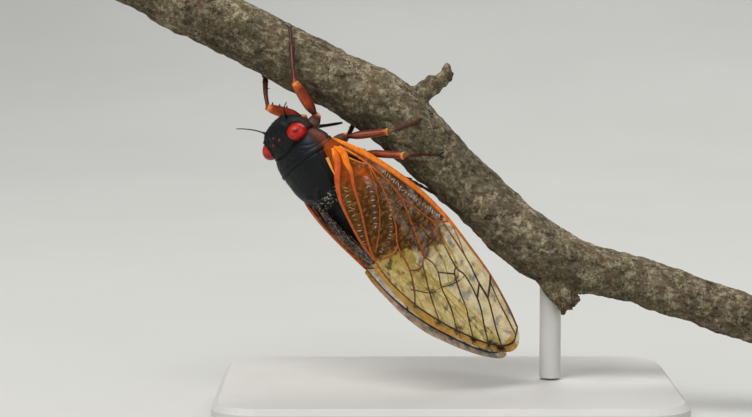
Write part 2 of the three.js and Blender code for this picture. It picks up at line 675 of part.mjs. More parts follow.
// Distance from one corner of a cell to the sides that don't meet it
function clearance(cell, points, k) {
  const count = cell.length;
  const at = points[cell[k].index].at;
  let nearest = Infinity;
  for (let side = 0; side < count; side += 1) {
    const next = (side + 1) % count;
    if (side !== k && next !== k) {
      const a = points[cell[side].index].at;
      const b = points[cell[next].index].at;
      const [direction, length] = unit(a, b);
      const along = (at[0] - a[0]) * direction[0] + (at[1] - a[1]) * direction[1];
      const t = THREE.MathUtils.clamp(along, 0, length);
      const gap = Math.hypot(a[0] + direction[0] * t - at[0], a[1] + direction[1] * t - at[1]);
      nearest = Math.min(nearest, gap);
    }
  }
  return nearest;
}

// Membrane with the veins raised on both faces. Both faces are split into triangles alike.
function veinedWing(joints, veins, surface) {
  const net = veinNet(joints, veins);
  const cells = cellsOf(net);
  const heights = net.map(({ rise }) => MEMBRANE_HALF + rise);
  const flat = net.map(({ at }) => at);
  const upper = [];
  const rim = [];
  cells.forEach((cell) => {
    const outline = cell.map(({ index }) => net[index].at);
    if (signedArea(outline) < 0) {
      cell.forEach(({ index }, k) => rim.push([index, cell[(k + 1) % cell.length].index]));
      return;
    }
    const inner = innerEdge(cell, net);
    const first = flat.length;
    inner.forEach((at) => {
      flat.push(at);
      heights.push(MEMBRANE_HALF);
    });
    cell.forEach(({ index }, k) => {
      const next = (k + 1) % cell.length;
      upper.push([index, cell[next].index, first + next], [index, first + next, first + k]);
    });
    const shape = inner.map(([u, w]) => new THREE.Vector2(u, w));
    THREE.ShapeUtils.triangulateShape(shape, []).forEach(([a, b, c]) => {
      upper.push([first + a, first + b, first + c]);
    });
  });
  const count = flat.length;
  const points = [1, -1].flatMap((face) => flat.map(([u, w], k) => surface(u, w, face * heights[k])));
  const lower = upper.map(([a, b, c]) => [a + count, c + count, b + count]);
  const walls = rim.flatMap(([a, b]) => [[a, b, b + count], [a, b + count, a + count]]);
  return toSolid(closedGeometry(points, [...upper, ...lower, ...walls]));
}

// Place on a closed wing: it bulges outwards over the abdomen, is flat towards the tip, and its
// hind edge turns up along the midline
function wingPlace(side, inset, midline) {
  const root = new THREE.Vector3(...WING_ROOT);
  const along = new THREE.Vector3(WING_ALONG[0], -WING_ALONG[1], WING_ALONG[2]).normalize();
  const across = new THREE.Vector3(WING_ACROSS[0], -WING_ACROSS[1], WING_ACROSS[2]).normalize();
  const outward = new THREE.Vector3().crossVectors(along, across).normalize();
  const middle = (u, w) => {
    const far = ((u - BULGE_AT) / BULGE_LENGTH) ** 2 + (w / BULGE_WIDTH) ** 2;
    const bulge = WING_BULGE * Math.exp(-far);
    const at = root.clone().addScaledVector(along, u).addScaledVector(across, w)
      .addScaledVector(outward, bulge - inset);
    const turn = 2 * midline;
    at.y = at.y < turn ? midline + midline * Math.exp((at.y - turn) / midline) : at.y;
    return at;
  };
  const nearby = 0.01;
  return (u, w, rise) => {
    const at = middle(u, w);
    const down = middle(u + nearby, w).sub(at);
    const over = middle(u, w + nearby).sub(at);
    at.addScaledVector(down.cross(over).normalize(), rise);
    return onBody([at.x, side * at.y, at.z]);
  };
}

function forewing(side) {
  const surface = wingPlace(side, 0, FORE_MIDLINE);
  return veinedWing(FORE_JOINTS, FORE_VEINS, surface).subtract(trunk(GAP));
}

function hindwing(side) {
  const surface = wingPlace(side, HINDWING_INSET, HIND_MIDLINE);
  return veinedWing(HIND_JOINTS, HIND_VEINS, surface).subtract(trunk(GAP));
}

function standBase() {
  const shape = new THREE.Shape();
  const [x, y] = [BASE_WIDTH / 2 - BASE_BEVEL, BASE_DEPTH / 2 - BASE_BEVEL];
  const corner = BASE_CORNER - BASE_BEVEL;
  [[1, 1, 0], [-1, 1, 1], [-1, -1, 2], [1, -1, 3]].forEach(([sx, sy, quarter]) => {
    const start = (quarter * Math.PI) / 2;
    shape.absarc(sx * (x - corner), sy * (y - corner), corner, start, start + Math.PI / 2, false);
  });
  const geometry = new THREE.ExtrudeGeometry(shape, {
    depth: BASE_THICK - 2 * BASE_BEVEL, curveSegments: 4, bevelEnabled: true,
    bevelThickness: BASE_BEVEL, bevelSize: BASE_BEVEL, bevelSegments: 1,
  });
  return toSolid(geometry.translate(0, 0, BASE_BEVEL));
}

function standRod() {
  const foot = seen([ROD_AT.right, 0, ROD_AT.away]);
  const low = BASE_THICK + GAP;
  const high = nearestOnBranch(new THREE.Vector3(foot.x, foot.y, 0)).z;
  const rod = new THREE.CylinderGeometry(ROD_RADIUS, ROD_RADIUS, high - low, ROD_SIDES);
  rod.rotateX(Math.PI / 2).translate(foot.x, foot.y, (high + low) / 2);
  return toSolid(rod).subtract(perch(GAP));
}

const group = new THREE.Group();

function addPart(name, solid, material) {
  const mesh = new THREE.Mesh(toGeometry(solid), new THREE.MeshStandardMaterial(MATERIALS[material]));
  mesh.name = name;
  group.add(mesh);
}

function addTrunk() {
  const whole = trunk(0).subtract(bothEyes(GAP));
  const front = NECK_AT - GAP / 2;
  const step = PRONOTUM_REAR - GAP / 2;
  const rear = WAIST_AT + GAP / 2;
  const under = bodyBox(rear, front, -FAR, PRONOTUM_LOW - GAP / 2)
    .add(bodyBox(rear, step, -FAR, MESONOTUM_LOW - GAP / 2));
  const collar = bodyBox(PRONOTUM_REAR + GAP / 2, front, PRONOTUM_LOW + GAP / 2, FAR);
  addPart('pronotum', whole.intersect(collar), 'shell');
  addPart('mesonotum', whole.intersect(bodyBox(rear, step, MESONOTUM_LOW + GAP / 2, FAR)), 'shell');
  addPart('thorax', whole.intersect(under), 'shell');
  addPart('abdomen', whole.intersect(bodyBox(-FAR, WAIST_AT - GAP / 2, -FAR, FAR)), 'shell');
}

function addHead() {
  addPart('head', head(), 'shell');
  addPart('beak', beak(), 'shell');
  ['left', 'right'].forEach((name) => {
    addPart(`eye_${name}`, eye(name, 0), 'eye');
    addPart(`antenna_${name}`, feeler(name), 'shell');
  });
}

function addLegs() {
  const body = trunk(GAP).add(headShell(GAP)).add(bothEyes(GAP));
  const branch = perch(GAP);
  Object.entries(LEGS).forEach(([name, leg]) => {
    const upper = upperLeg(leg, 0).subtract(body).subtract(branch);
    addPart(`leg_${name}_femur`, upper, 'leg');
    const lower = lowerLeg(leg).subtract(upperLeg(leg, GAP)).subtract(branch);
    addPart(`leg_${name}_tibia`, lower, 'leg');
  });
}

function addWings() {
  [['left', -1], ['right', 1]].forEach(([name, side]) => {
    addPart(`forewing_${name}`, forewing(side), 'wing');
    addPart(`hindwing_${name}`, hindwing(side), 'wing');
  });
}

addTrunk();
addHead();
addLegs();
addWings();
addPart('perch', perch(0), 'bark');
addPart('stand_base', standBase(), 'stand');
addPart('stand_rod', standRod(), 'stand');

export default group;
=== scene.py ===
"""Looks for the periodical cicada on its cut length of branch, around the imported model."""

import math
from functools import partial

import bmesh
import bpy
import numpy as np
from mathutils import Matrix, Vector, geometry, noise


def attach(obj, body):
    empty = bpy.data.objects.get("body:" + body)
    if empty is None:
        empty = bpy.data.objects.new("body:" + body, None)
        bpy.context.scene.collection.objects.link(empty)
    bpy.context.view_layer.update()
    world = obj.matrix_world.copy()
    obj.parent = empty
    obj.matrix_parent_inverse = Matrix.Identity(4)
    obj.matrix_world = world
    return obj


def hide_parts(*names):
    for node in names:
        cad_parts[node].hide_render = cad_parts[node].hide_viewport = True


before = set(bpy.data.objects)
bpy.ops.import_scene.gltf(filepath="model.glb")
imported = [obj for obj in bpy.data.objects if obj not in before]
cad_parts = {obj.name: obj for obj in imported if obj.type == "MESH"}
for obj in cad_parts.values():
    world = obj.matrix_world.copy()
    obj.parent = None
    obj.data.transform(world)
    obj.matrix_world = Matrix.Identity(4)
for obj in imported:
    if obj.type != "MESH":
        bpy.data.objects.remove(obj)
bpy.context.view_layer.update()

MM = 0.001

# The camera: its distance, how wide the view is there and its nearest seen place, in mm
VIEW_DISTANCE = 300.0
VIEW_WIDTH = 102.35
NEAREST_SEEN = 10.0
SENSOR = 36.0
LOOK_DOWN = math.radians(6)
VIEW_CENTRE = np.array([-10.0, -6.5, 30.0])

# The animal's pose as seen, each right, up and away: its middle in mm from the view's centre, and the
# ways its head points and its back faces
BODY_MIDDLE = (-8.98, 5.7, 0.0)
HEADWARD = (-0.6416, 0.767, 0.0059)
BACK_FACES = (-0.5094, -0.4204, -0.7508)

# Rings of the trunk, in mm: forward, half width, top, widest level, bottom
THORAX_ROWS = [
    (-6.6, 2.6, 1.7, -1.2, -4.3),
    (-5.4, 3.1, 2.5, -1.0, -4.6),
    (-3.8, 3.9, 3.1, -0.8, -4.9),
    (-2.0, 4.3, 3.4, -0.6, -4.9),
    (-0.2, 4.4, 3.1, -0.4, -4.8),
    (1.4, 4.5, 2.7, -0.3, -4.6),
    (2.6, 4.3, 2.3, -0.2, -4.3),
    (3.8, 3.7, 1.8, -0.2, -3.9),
]
ABDOMEN_ROWS = [
    (-5.4, 2.9, 1.7, -1.6, -4.3),
    (-7.6, 3.2, 1.5, -1.8, -4.8),
    (-10.2, 3.1, 1.2, -2.0, -5.0),
    (-12.8, 2.8, 0.7, -2.3, -4.9),
    (-15.4, 2.1, -0.3, -2.7, -4.7),
    (-17.6, 1.3, -1.5, -3.1, -4.4),
    (-19.2, 0.5, -2.9, -3.6, -4.1),
]
ABDOMEN_SEGMENTS = 8
HEAD_ROWS = [
    (2.9, 3.1, 1.6, -0.5, -3.4),
    (3.9, 3.4, 2.05, -0.45, -3.6),
    (5.0, 3.4, 2.2, -0.4, -3.5),
    (6.0, 3.1, 2.05, -0.3, -3.0),
    (6.9, 2.55, 1.5, -0.3, -2.4),
    (7.5, 1.9, 0.85, -0.35, -1.7),
    (7.85, 0.8, 0.2, -0.4, -1.0),
]
BODY_SQUARENESS = 2.3
HEAD_SQUARENESS = 2.8
BODY_SIDES = 128
FACE_AT = (5.8, 0.0, -1.6)
FACE_RADII = (2.2, 1.65, 1.9)
# The raised cross at the rear of the back: its middle, and how far each arm goes forward, out and up
CROSS_AT = (-4.3, 0.0, 2.95)
CROSS_ARMS = [(1.3, 1.35, 0.0), (-1.35, 1.5, -0.75)]
CROSS_RADII = [0.5, 0.48, 0.4]
SKIN_VOXEL = 0.085

# Relief of the skin in mm, below 0 for grooves. Lines as seen from the top, side or front: start, end,
# height, half width and the part of the skin they are on
RELIEF_LINES = [
    ("top", (3.3, 0.9), (2.0, 2.9), -0.07, 0.13, "back"),
    ("top", (2.9, 2.6), (1.9, 4.1), -0.07, 0.13, "back"),
    ("top", (2.6, 0.0), (1.9, 0.9), -0.07, 0.13, "back"),
    ("top", (0.9, 1.0), (-1.8, 0.75), -0.045, 0.1, "back"),
    ("top", (0.9, 2.7), (-2.7, 1.7), -0.045, 0.1, "back"),
    ("top", (0.6, 4.1), (-4.4, 3.1), -0.1, 0.14, "edge"),
    ("side", (1.2, -0.8), (2.0, -4.4), -0.12, 0.13, "side"),
    ("side", (-1.6, -0.9), (-1.2, -4.8), -0.12, 0.13, "side"),
    ("side", (-4.0, -1.0), (-3.6, -4.6), -0.12, 0.13, "side"),
    ("top", (6.2, 2.6), (7.2, 1.7), 0.16, 0.36, "plates"),
    ("top", (4.1, 0.5), (5.2, 1.6), -0.05, 0.12, "crown"),
    ("top", (4.2, 1.9), (6.3, 1.2), -0.05, 0.12, "crown"),
    ("front", (1.9, -0.8), (1.6, -3.4), -0.12, 0.12, "cheek"),
]
# Bands across: forward place, its bend with the distance out squared, height, half width and part
RELIEF_BANDS = [
    (3.35, 0.055, -0.2, 0.12, "neck"),
    (1.15, -0.03, -0.16, 0.09, "back"),
    (1.57, -0.03, 0.10, 0.28, "back"),
    (2.01, -0.03, -0.06, 0.1, "back"),
]
# Grooves along the middle: height, half width and part
MIDDLE_GROOVES = [(-0.05, 0.09, "shield"), (-0.08, 0.12, "parting")]
# Round pits: forward, out, height, half width and part
PITS = [(-4.3, 1.9, -0.12, 0.5, "back"), (6.15, 1.05, -0.16, 0.28, "brow")]
# The groove along each flank: level, slope, height and half width
FLANK_GROOVE = (-1.35, -0.1, -0.1, 0.12)
# Small hard lumps where the wing joins the body: forward, up and size
LUMPS = [(0.5, -0.5, 0.45), (-0.3, -0.2, 0.4), (0.0, -1.1, 0.4), (-0.9, -0.7, 0.38), (1.2, -1.0, 0.4)]
LUMPS_OUT = 4.4
LUMP_HEIGHT = 0.16
# The rim round each eye, counted in eye radii, and the face's ribs inside an oval groove
EYE_RIM_HEIGHT = 0.14
EYE_RIM_AT = 1.12
EYE_RIM_WIDTH = 0.11
FACE_OVAL = (1.5, 1.7)
FACE_OVAL_LEVEL = -1.45
FACE_RIB_STEP = 0.42
FACE_RIB_HEIGHT = 0.07
FACE_GROOVE_HEIGHT = -0.12
FACE_MIDDLE_HEIGHT = -0.06
# Abdomen rings: how far each joint is sunk, how far a ring stands proud, and the steps along each ring
RING_GROOVE = 0.14
RING_PROUD = 0.05
RING_STEPS = 14

EYES_AT = {"left": (5.15, -2.85, 0.7), "right": (4.7, 2.85, 0.75)}
EYE_RADII = (1.2, 1.45, 1.4)
EYE_SWEEP = math.radians(28)
# The dark spot and the bright ring round it face this way, as seen; both fade in over these facings
EYE_FACES = (-0.1, 0.15, -1.0)
SPOT_FACING = (0.94, 0.985)
RING_FACING = (0.5, 0.93)
SPOT_COVER = 0.75
SMALL_EYES = [(6.0, 0.0, 2.02), (5.3, 0.75, 2.13), (5.3, -0.75, 2.13)]
SMALL_EYE_RADII = (0.2, 0.2, 0.16)

FEELER_PATHS = {
    "left": [(6.0, -2.1, -0.5), (7.3, -2.45, -0.15), (8.6, -3.1, 0.3), (9.9, -4.3, 0.7), (10.6, -5.3, 0.8)],
    "right": [(6.0, 2.1, -0.5), (7.2, 2.5, -0.1), (8.0, 3.5, 0.6), (8.3, 4.8, 1.35), (8.4, 6.0, 2.05)],
}
# The two thick joints, by where each starts and ends along the path, and the ringed whip beyond
FEELER_JOINTS = [((0.0, 0.2), [0.34, 0.3, 0.24]), ((0.18, 0.34), [0.22, 0.2, 0.14])]
WHIP_START = 0.3
WHIP_RADIUS = 0.1
WHIP_TAPER = 0.45
WHIP_RINGS = 64
WHIP_RING_PROUD = 0.14
BEAK_PATH = [(4.9, 0.0, -2.8), (4.1, 0.0, -5.6), (3.1, 0.0, -8.3), (2.15, 0.0, -11.0)]
BEAK_RADII = [0.62, 0.5, 0.36, 0.27, 0.24, 0.22, 0.2, 0.13]
STYLET_RADII = [0.16, 0.13, 0.08]
STYLET_AHEAD = 0.1

# Legs: root and hip on the body, then knee, ankle and claw as seen, in mm
LEGS = {
    "fore_right": [(3.9, 1.7, -2.6), (4.7, 2.4, -4.9),
                   (-11.1, 17.2, 1.0), (-11.6, 22.3, 3.3), (-11.9, 24.9, 4.8)],
    "fore_left": [(3.3, -2.2, -3.0), (5.9, -1.2, -6.8),
                  (-15.0, 13.95, 5.2), (-15.5, 18.0, 8.8), (-16.2, 19.45, 11.2)],
    "mid_right": [(0.2, 2.5, -3.0), (0.2, 3.3, -5.6), (1.65, 10.5, 0.9), (5.65, 11.9, 3.5), (7.3, 13.2, 5.4)],
    "mid_left": [(0.2, -2.5, -3.0), (0.2, -3.3, -5.6),
                 (-5.2, 7.8, 11.2), (-3.2, 11.9, 12.3), (-1.6, 14.3, 13.1)],
    "hind_right": [(-3.0, 2.8, -3.2), (-3.0, 3.7, -5.9), (3.8, 7.15, -1.2), (6.1, 7.5, 3.3), (8.8, 7.4, 3.7)],
    "hind_left": [(-3.0, -2.8, -3.2), (-3.0, -3.7, -5.9),
                  (-0.6, 5.4, 10.0), (4.9, 3.9, 8.2), (8.0, 2.2, 7.2)],
}
# For each pair: thigh and shin radius, and how many spines are under the thigh
LEG_PAIRS = {"fore": (0.85, 0.36, 3), "mid": (0.68, 0.32, 0), "hind": (0.64, 0.32, 0)}
# Radii along each piece of a leg: a profile counts in the piece's own radius, the others are in mm
COXA_RADIUS = 0.95
COXA_PROFILE = np.array([1.0, 1.02, 0.9, 0.66])
HIP_RING_RADII = [0.52, 0.58, 0.56, 0.42]
THIGH_PROFILE = np.array([0.4, 0.62, 0.92, 1.0, 0.98, 0.9, 0.78, 0.7])
THIGH_FLATNESS = 0.82
KNEE_RADII = [0.47, 0.5, 0.34]
THIGH_END = 0.46
THIGH_SPINE_RADII = [0.3, 0.2, 0.05]
SHIN_PROFILE = np.array([1.0, 0.82, 0.78, 0.86, 1.0, 1.12])
SHIN_BOW = 0.12
SHIN_SPINES = 8
SHIN_SPINE_RADII = [0.09, 0.06, 0.015]
SHIN_SPINE_TURN = 2.4
FOOT_RADIUS = 0.24
FOOT_PROFILE = np.array([0.7, 0.85, 1.05, 0.9])
FOOT_CUTS = [0.0, 0.28, 0.52, 1.0]
CLAW_RADII = [0.17, 0.14, 0.1, 0.03]

# Branch: centre line (right, up) at one distance away, and its radius
BRANCH_AWAY = 8.25
BRANCH_LINE = [
    (-36.0, 33.6, 4.1), (-24.6, 27.6, 4.1), (-17.6, 24.1, 4.1), (-10.6, 20.4, 4.2), (-4.3, 17.3, 4.2),
    (2.2, 13.4, 4.6), (8.9, 6.8, 4.2), (15.0, 1.05, 4.0), (19.7, -3.4, 4.2), (25.0, -7.0, 4.2),
    (30.2, -8.6, 3.4), (36.4, -10.0, 3.3), (42.9, -12.2, 3.3), (54.6, -16.3, 3.3),
]
# The twig and the knob: start and end as seen, then the radius at each
STUBS = [
    ((2.5, 13.5, 8.0), (10.6, 18.9, 6.6), 1.9, 1.05),
    ((23.6, -8.4, 7.6), (27.2, -13.6, 6.8), 2.4, 1.5),
]
# The bark's skin: the pitch of its grid, how often it is softened, and its relief. Each wave has a
# height, size, seed and number of octaves; fine cracks are drawn out along the branch
BARK_VOXEL = 0.24
BARK_SOFTENING = 4
BROAD_WAVE = (0.24, 5.0, 1.0, 3)
CRACK_WAVE = (0.2, 1.0, 2.0, 3)
CRACK_LENGTHENING = 0.62
BARK_SINK = 0.06
STUB_WAVE = (0.9, 1.2, 6.0, 3)
STUB_REACH = 2.6
# Bark is painted lighter where it faces up and to the left as seen, towards the key lamp, as painted light;
# it is also cloudy all over
PAINTED_LIGHT_FROM = (-0.5, 1.0, -0.3)
PAINTED_LIGHT_SHARE = 0.3
CLOUD_WAVE = (0.55, 4.5, 4.0, 3)
BARK_BRIGHTNESS = 1.05
BARK_TINT = (1.0, 0.98, 0.94)

# Wings, on the animal's right
WING_ROOT = np.array([0.0, 4.86, -0.24])
WING_ALONG = np.array([-0.975, -0.096, -0.2])
WING_ACROSS = np.array([-0.153, -0.364, 0.919])
WING_BULGE = 1.4
BULGE_AT = 9.0
BULGE_LENGTH = 8.0
BULGE_WIDTH = 7.0
FORE_MIDLINE = 0.8
HIND_MIDLINE = 0.45
HINDWING_INSET = 0.95
MEMBRANE = 0.035
# The left wings lie closer in and down at the root, fading out along the wing
LEFT_TUCK = 0.7
TUCK_LENGTH = 13.0
TUCK_WAY = np.array([0.0, 1.0, 0.9])
# The left wings' film covers this share of the right's, fading in between two places along the wing,
# so that two films on each other don't look dark
LEFT_COVER = 0.72
CLEAR_FROM = (15.0, 20.0)

FORE_JOINTS = {
    "hinge": (-0.9, -1.0), "root": (-0.9, 0.1), "anal": (-0.6, 1.1), "arculus": (5.1, -1.9),
    "fork": (11.8, -2.0), "nodus": (19.2, -5.55), "rs_fork": (17.2, -3.5), "r2_start": (18.5, -4.6),
    "w_top": (28.2, -2.3), "w_mid": (30.5, -1.7), "w_distal": (29.3, -3.7), "stigma": (28.7, -4.45),
    "apex": (36.5, -1.9), "r1_end": (37.0, -0.9), "r2_end": (36.3, 2.2), "rs_end_a": (34.5, 3.7),
    "rs_end_b": (32.2, 5.0), "m_end": (29.7, 6.1), "m34_end": (26.9, 7.15), "cu_end": (22.8, 8.05),
    "claval": (14.6, 7.2), "rs_split": (24.1, -1.4), "rm_top": (24.6, -0.5), "w1_end": (29.3, -0.5),
    "rm_bottom": (22.6, 1.2), "m_fork": (19.8, 1.2), "mcu_top": (20.2, 2.1), "cu_fork": (19.3, 4.2),
    "cu_split": (15.7, 3.1), "r1_join": (24.4, -3.5),
}
FORE_EDGE = [
    "hinge", (3.5, -2.65), (8.5, -3.95), (13.6, -5.1), "nodus", (23.9, -5.15), "stigma", (33.5, -3.1), "apex",
]
# Each vein: its path, its half width in mm and how dark it is against its neighbours
FORE_VEINS = [
    (FORE_EDGE, 0.3, 0.0),
    (["apex", "r1_end", (37.3, 0.3), "r2_end", "rs_end_a", "rs_end_b", "m_end", "m34_end", "cu_end",
      (18.5, 8.1), "claval"], 0.13, 0.5),
    ([(0.1, 0.1), (1.8, 1.1), (3.3, 2.9), (4.6, 4.1), (6.4, 5.2), (10.7, 6.6), "claval"], 0.18, 0.0),
    ([(0.1, -0.2), (1.5, -0.5), (2.9, 0.3), (4.2, 0.9), (5.8, 2.2), (8.9, 4.0), (11.8, 5.8), "claval"],
     0.18, 0.0),
    ([(0.6, -0.9), (3.0, -1.55), "arculus"], 0.14, 0.0),
    ([(2.2, -0.45), (4.0, -1.15), "arculus"], 0.12, 0.0),
    (["arculus", (8.0, -2.15), "fork"], 0.16, 0.0),
    (["fork", (14.5, -2.8), "rs_fork", "r2_start", "nodus"], 0.14, 0.0),
    (["r2_start", (22.5, -3.95), (25.3, -3.3), "w_top", "w_mid", (33.2, 0.0), "r2_end"], 0.12, 0.0),
    (["nodus", (21.6, -4.8), "r1_join"], 0.07, 0.3),
    (["w_top", "w_mid"], 0.15, 1.0),
    (["w_mid", "w_distal", "stigma"], 0.15, 1.0),
    (["w_distal", (31.8, -2.65), (34.6, -1.75), "r1_end"], 0.1, 0.2),
    (["rs_fork", (20.2, -2.55), "rs_split", (26.0, -1.5), "w1_end", (31.7, 1.0), "rs_end_a"], 0.12, 0.0),
    (["w_top", "w1_end"], 0.14, 1.0),
    (["rs_split", "rm_top", (26.6, 0.7), (29.3, 2.1), "rs_end_b"], 0.11, 0.1),
    (["rm_top", (23.6, 0.35), "rm_bottom"], 0.11, 0.4),
    (["fork", (15.9, -0.3), "m_fork"], 0.13, 0.0),
    (["m_fork", (21.2, 0.85), "rm_bottom", (24.4, 2.4), (27.2, 3.7), "m_end"], 0.11, 0.1),
    (["m_fork", "mcu_top", (22.6, 3.7), "m34_end"], 0.11, 0.1),
    (["mcu_top", (20.2, 3.2), "cu_fork"], 0.11, 0.4),
    (["arculus", (8.0, -1.0), (10.7, 0.1), (13.5, 1.4), "cu_split", "cu_fork", (21.4, 5.9), "cu_end"],
     0.13, 0.0),
    (["cu_split", (15.95, 4.7), "claval"], 0.14, 0.0),
    (["arculus", (9.2, 0.8), (12.2, 3.6), "claval"], 0.08, 0.0),
    ([(21.1, 6.4), (22.2, 5.5), (23.6, 4.3), (24.4, 2.3), (25.1, 1.2), (25.8, -0.6), (25.8, -1.5)],
     0.07, 1.0),
]
VEIN_SPACING = 0.22
VEIN_SIDES = 10
# Heights of a vein and of the fore edge, against their half widths
VEIN_HEIGHT = 0.75
COSTA_HEIGHT = 0.62
# The fore edge vein: half width in mm at places along the wing
COSTA_AT = [-0.9, -0.4, 1.0, 3.0, 10, 14, 18, 20.5, 36.5]
COSTA_HALF = [0.06, 0.2, 0.34, 0.46, 0.46, 0.42, 0.34, 0.2, 0.15]
# Veins of this half width and more swell at the root, by this much and this far along
BROAD_VEIN = 0.18
ROOT_SWELL = 2.1
ROOT_SWELL_LENGTH = 3.4
# Where the painted shade near the root ends, across the wing, and marks close to the root. The painted shade
# is a dark film standing in for the shaded black abdomen seen through the clear wing
BODY_SHADE_ACROSS = [-5.5, -2.3, 0.7, 2.4, 3.9, 7.4]
BODY_SHADE_ALONG = [18.2, 20.7, 19.6, 17.5, 15.6, 14.6]
DARK_WEDGE = [(2.0, -0.9), (3.0, -1.4), (5.2, -1.9), (4.0, -1.2), (2.6, -0.7)]
ORANGE_PATCH = [(3.5, -0.6), (4.6, -1.1), (7.0, -0.5), (6.6, 0.5), (4.4, 0.3)]
PALE_BAR = [(0.4, 1.7), (1.6, 2.3), (2.8, 2.8)]
PALE_BAR_RISE = 0.1
PALE_BAR_RADII = [0.24, 0.16, 0.06]
# Heights of the film's fine cross wrinkles and of its slow waves
WRINKLE_HEIGHT = 0.055
WAVE_HEIGHT = 0.05
# Rows of small cross folds in the membrane: path, spacing, fold length, half width and the colour of the
# highlight painted on them
FOLD_ROWS = [
    ([(7.2, -2.75), (9.4, -2.95), (12.4, -3.3), (15.5, -4.2), (17.6, -4.85)], 0.42, 0.75, 0.05, "white"),
    ([(6.0, -0.3), (7.1, 0.5), (8.6, 1.3), (10.2, 2.6), (11.6, 3.9)], 0.62, 0.55, 0.06, "white"),
    ([(10.5, -0.3), (11.8, 0.9), (13.2, 2.2), (14.3, 3.6), (14.5, 5.6)], 0.52, 0.5, 0.05, "white"),
    ([(4.8, 3.0), (6.7, 4.2), (7.9, 4.8), (10.1, 5.7), (12.2, 6.6)], 0.6, 0.8, 0.06, "straw"),
    ([(7.5, -1.5), (9.5, -1.3), (12.0, -0.9), (14.0, 0.2)], 0.9, 0.4, 0.045, "straw"),
]
FOLD_PROFILE = np.array([0.3, 0.8, 1.1, 1.2, 1.0, 0.7, 0.3])
FORE_MARGIN = [
    *FORE_EDGE, (37.9, -0.6), (38.15, 0.9), (37.3, 2.5), (34.6, 4.9), (31.0, 7.0), (26.5, 8.95), (22.5, 9.45),
    (18.3, 9.05), (15.1, 8.2), "claval", (10.7, 6.6), (6.4, 5.2), (3.3, 2.85), "anal", "root",
]
HIND_JOINTS = {
    "hinge": (1.2, -0.8), "root": (1.2, 0.1), "anal": (1.4, 1.0), "fork": (11.0, -1.4), "cu_fork": (9.6, 1.0),
    "apex": (25.4, -1.2), "r_end": (25.1, 0.6), "m_end": (23.9, 2.3), "cu_end": (21.2, 3.6),
    "a_end": (15.6, 4.0), "split": (16.4, -0.4),
}
HIND_EDGE = [
    "hinge", (6.5, -2.7), (13.0, -3.7), (19.5, -3.5), (23.6, -2.6), "apex", "r_end", "m_end", "cu_end",
    (18.6, 4.0), "a_end",
]
HIND_VEINS = [
    (HIND_EDGE, 0.12, 0.2),
    (["root", (6.0, -1.1), "fork", (18.0, -1.9), (22.6, -1.0), "r_end"], 0.1, 0.0),
    (["fork", "split", (20.6, 1.0), "m_end"], 0.09, 0.1),
    (["root", (5.0, 0.3), "cu_fork", (15.0, 1.9), "cu_end"], 0.09, 0.1),
    (["cu_fork", (12.6, 3.4), "a_end"], 0.09, 0.1),
]
HIND_MARGIN = [*HIND_EDGE, (11.0, 4.3), (5.5, 3.2), "anal", "root"]
# Films: colour and cover. A stain adds its strength and the noise that it follows: where the noise
# starts and is full, then its stretch, size, seed and octaves
CLEAR_FILM = ((0.66, 0.53, 0.15), 0.44)
# Painted shade: a dark film where the shaded black abdomen shows through the clear wing, with its mottle
# below
BODY_SHADE_FILM = ((0.085, 0.034, 0.008), 0.78)
HIND_FILM = ((0.46, 0.33, 0.09), 0.10)
CLEAR_STAINS = [
    ((0.10, 0.07, 0.02), 0.5, 0.8, (0.2, 0.5), (1, 1, 1), 1.3, 11.0, 2),
    ((0.74, 0.54, 0.17), 0.52, 0.7, (0.1, 0.5), (0.5, 1, 1), 1.0, 17.0, 2),
]
BODY_SHADE_MOTTLE = [
    ((0.20, 0.085, 0.018), 0.74, 1.0, (0.0, 0.45), (1, 0.6, 1), 0.55, 23.0, 3),
    ((0.25, 0.16, 0.05), 0.78, 1.0, (0.38, 0.5), (1, 0.4, 1), 0.32, 29.0, 2),
]
HIND_STAINS = [((0.16, 0.09, 0.03), 0.26, 1.0, (0.05, 0.5), (1, 1, 1), 1.8, 37.0, 2)]
UNEVEN_NOISE = (1.5, 5.0, 3)
UNEVEN_EDGE = 1.1
ROOT_WASH = ((0.34, 0.075, 0.012), 0.74)
# The film beside each row of folds takes a dimmed copy of the folds' painted highlight
FOLD_HIGHLIGHT_DIMMING = (0.30, 0.24, 0.16)
PATCH_FILM = ((0.55, 0.10, 0.012), 0.85)
WEDGE_FILM = ((0.006, 0.006, 0.012), 0.93)
HINGE_FILM = ((0.45, 0.09, 0.012), 0.85)
HIND_ROOT_FILM = ((0.60, 0.16, 0.015), 0.6)
# The rim outside the outer vein begins at this place along the wing; dark spots mark the veins' ends
RIM_FROM = 14.6
RIM_FILM = ((0.52, 0.31, 0.07), 0.78)
SPOT_FILM = ((0.03, 0.018, 0.01), 0.85)
SPOTTED_ENDS = ("r2_end", "rs_end_a", "rs_end_b", "m_end", "m34_end", "cu_end")
SPOT_SHIFT = (0.1, 0.25)
SPOT_NOISE = (0.5, 31.0, 2)
TIP_SPOT = (35.6, 2.9)

# Floor in metres: where it begins to rise, how roundly, and half its width
SWEEP_START = 0.35
SWEEP_RADIUS = 0.9
SWEEP_STEPS = 32
FLOOR_HALF = 2.2
# Lamps: place and size in metres, power in watts and colour
LAMPS = {
    "key": ((-0.30, -0.35, 0.70), 0.45, 5.6, (1.0, 0.985, 0.96)),
    "fill": ((0.55, -0.55, 0.30), 0.6, 1.2, (0.95, 0.98, 1.0)),
    "back": ((0.20, 0.45, 0.55), 0.5, 2.2, (1.0, 0.99, 0.96)),
}
LAMPS_FACE = (0.0, 0.0, 0.03)
ROOM_COLOUR = (0.9, 0.93, 0.96, 1.0)
ROOM_STRENGTH = 0.22

# Colours
BLACK = (0.006, 0.0065, 0.0068)
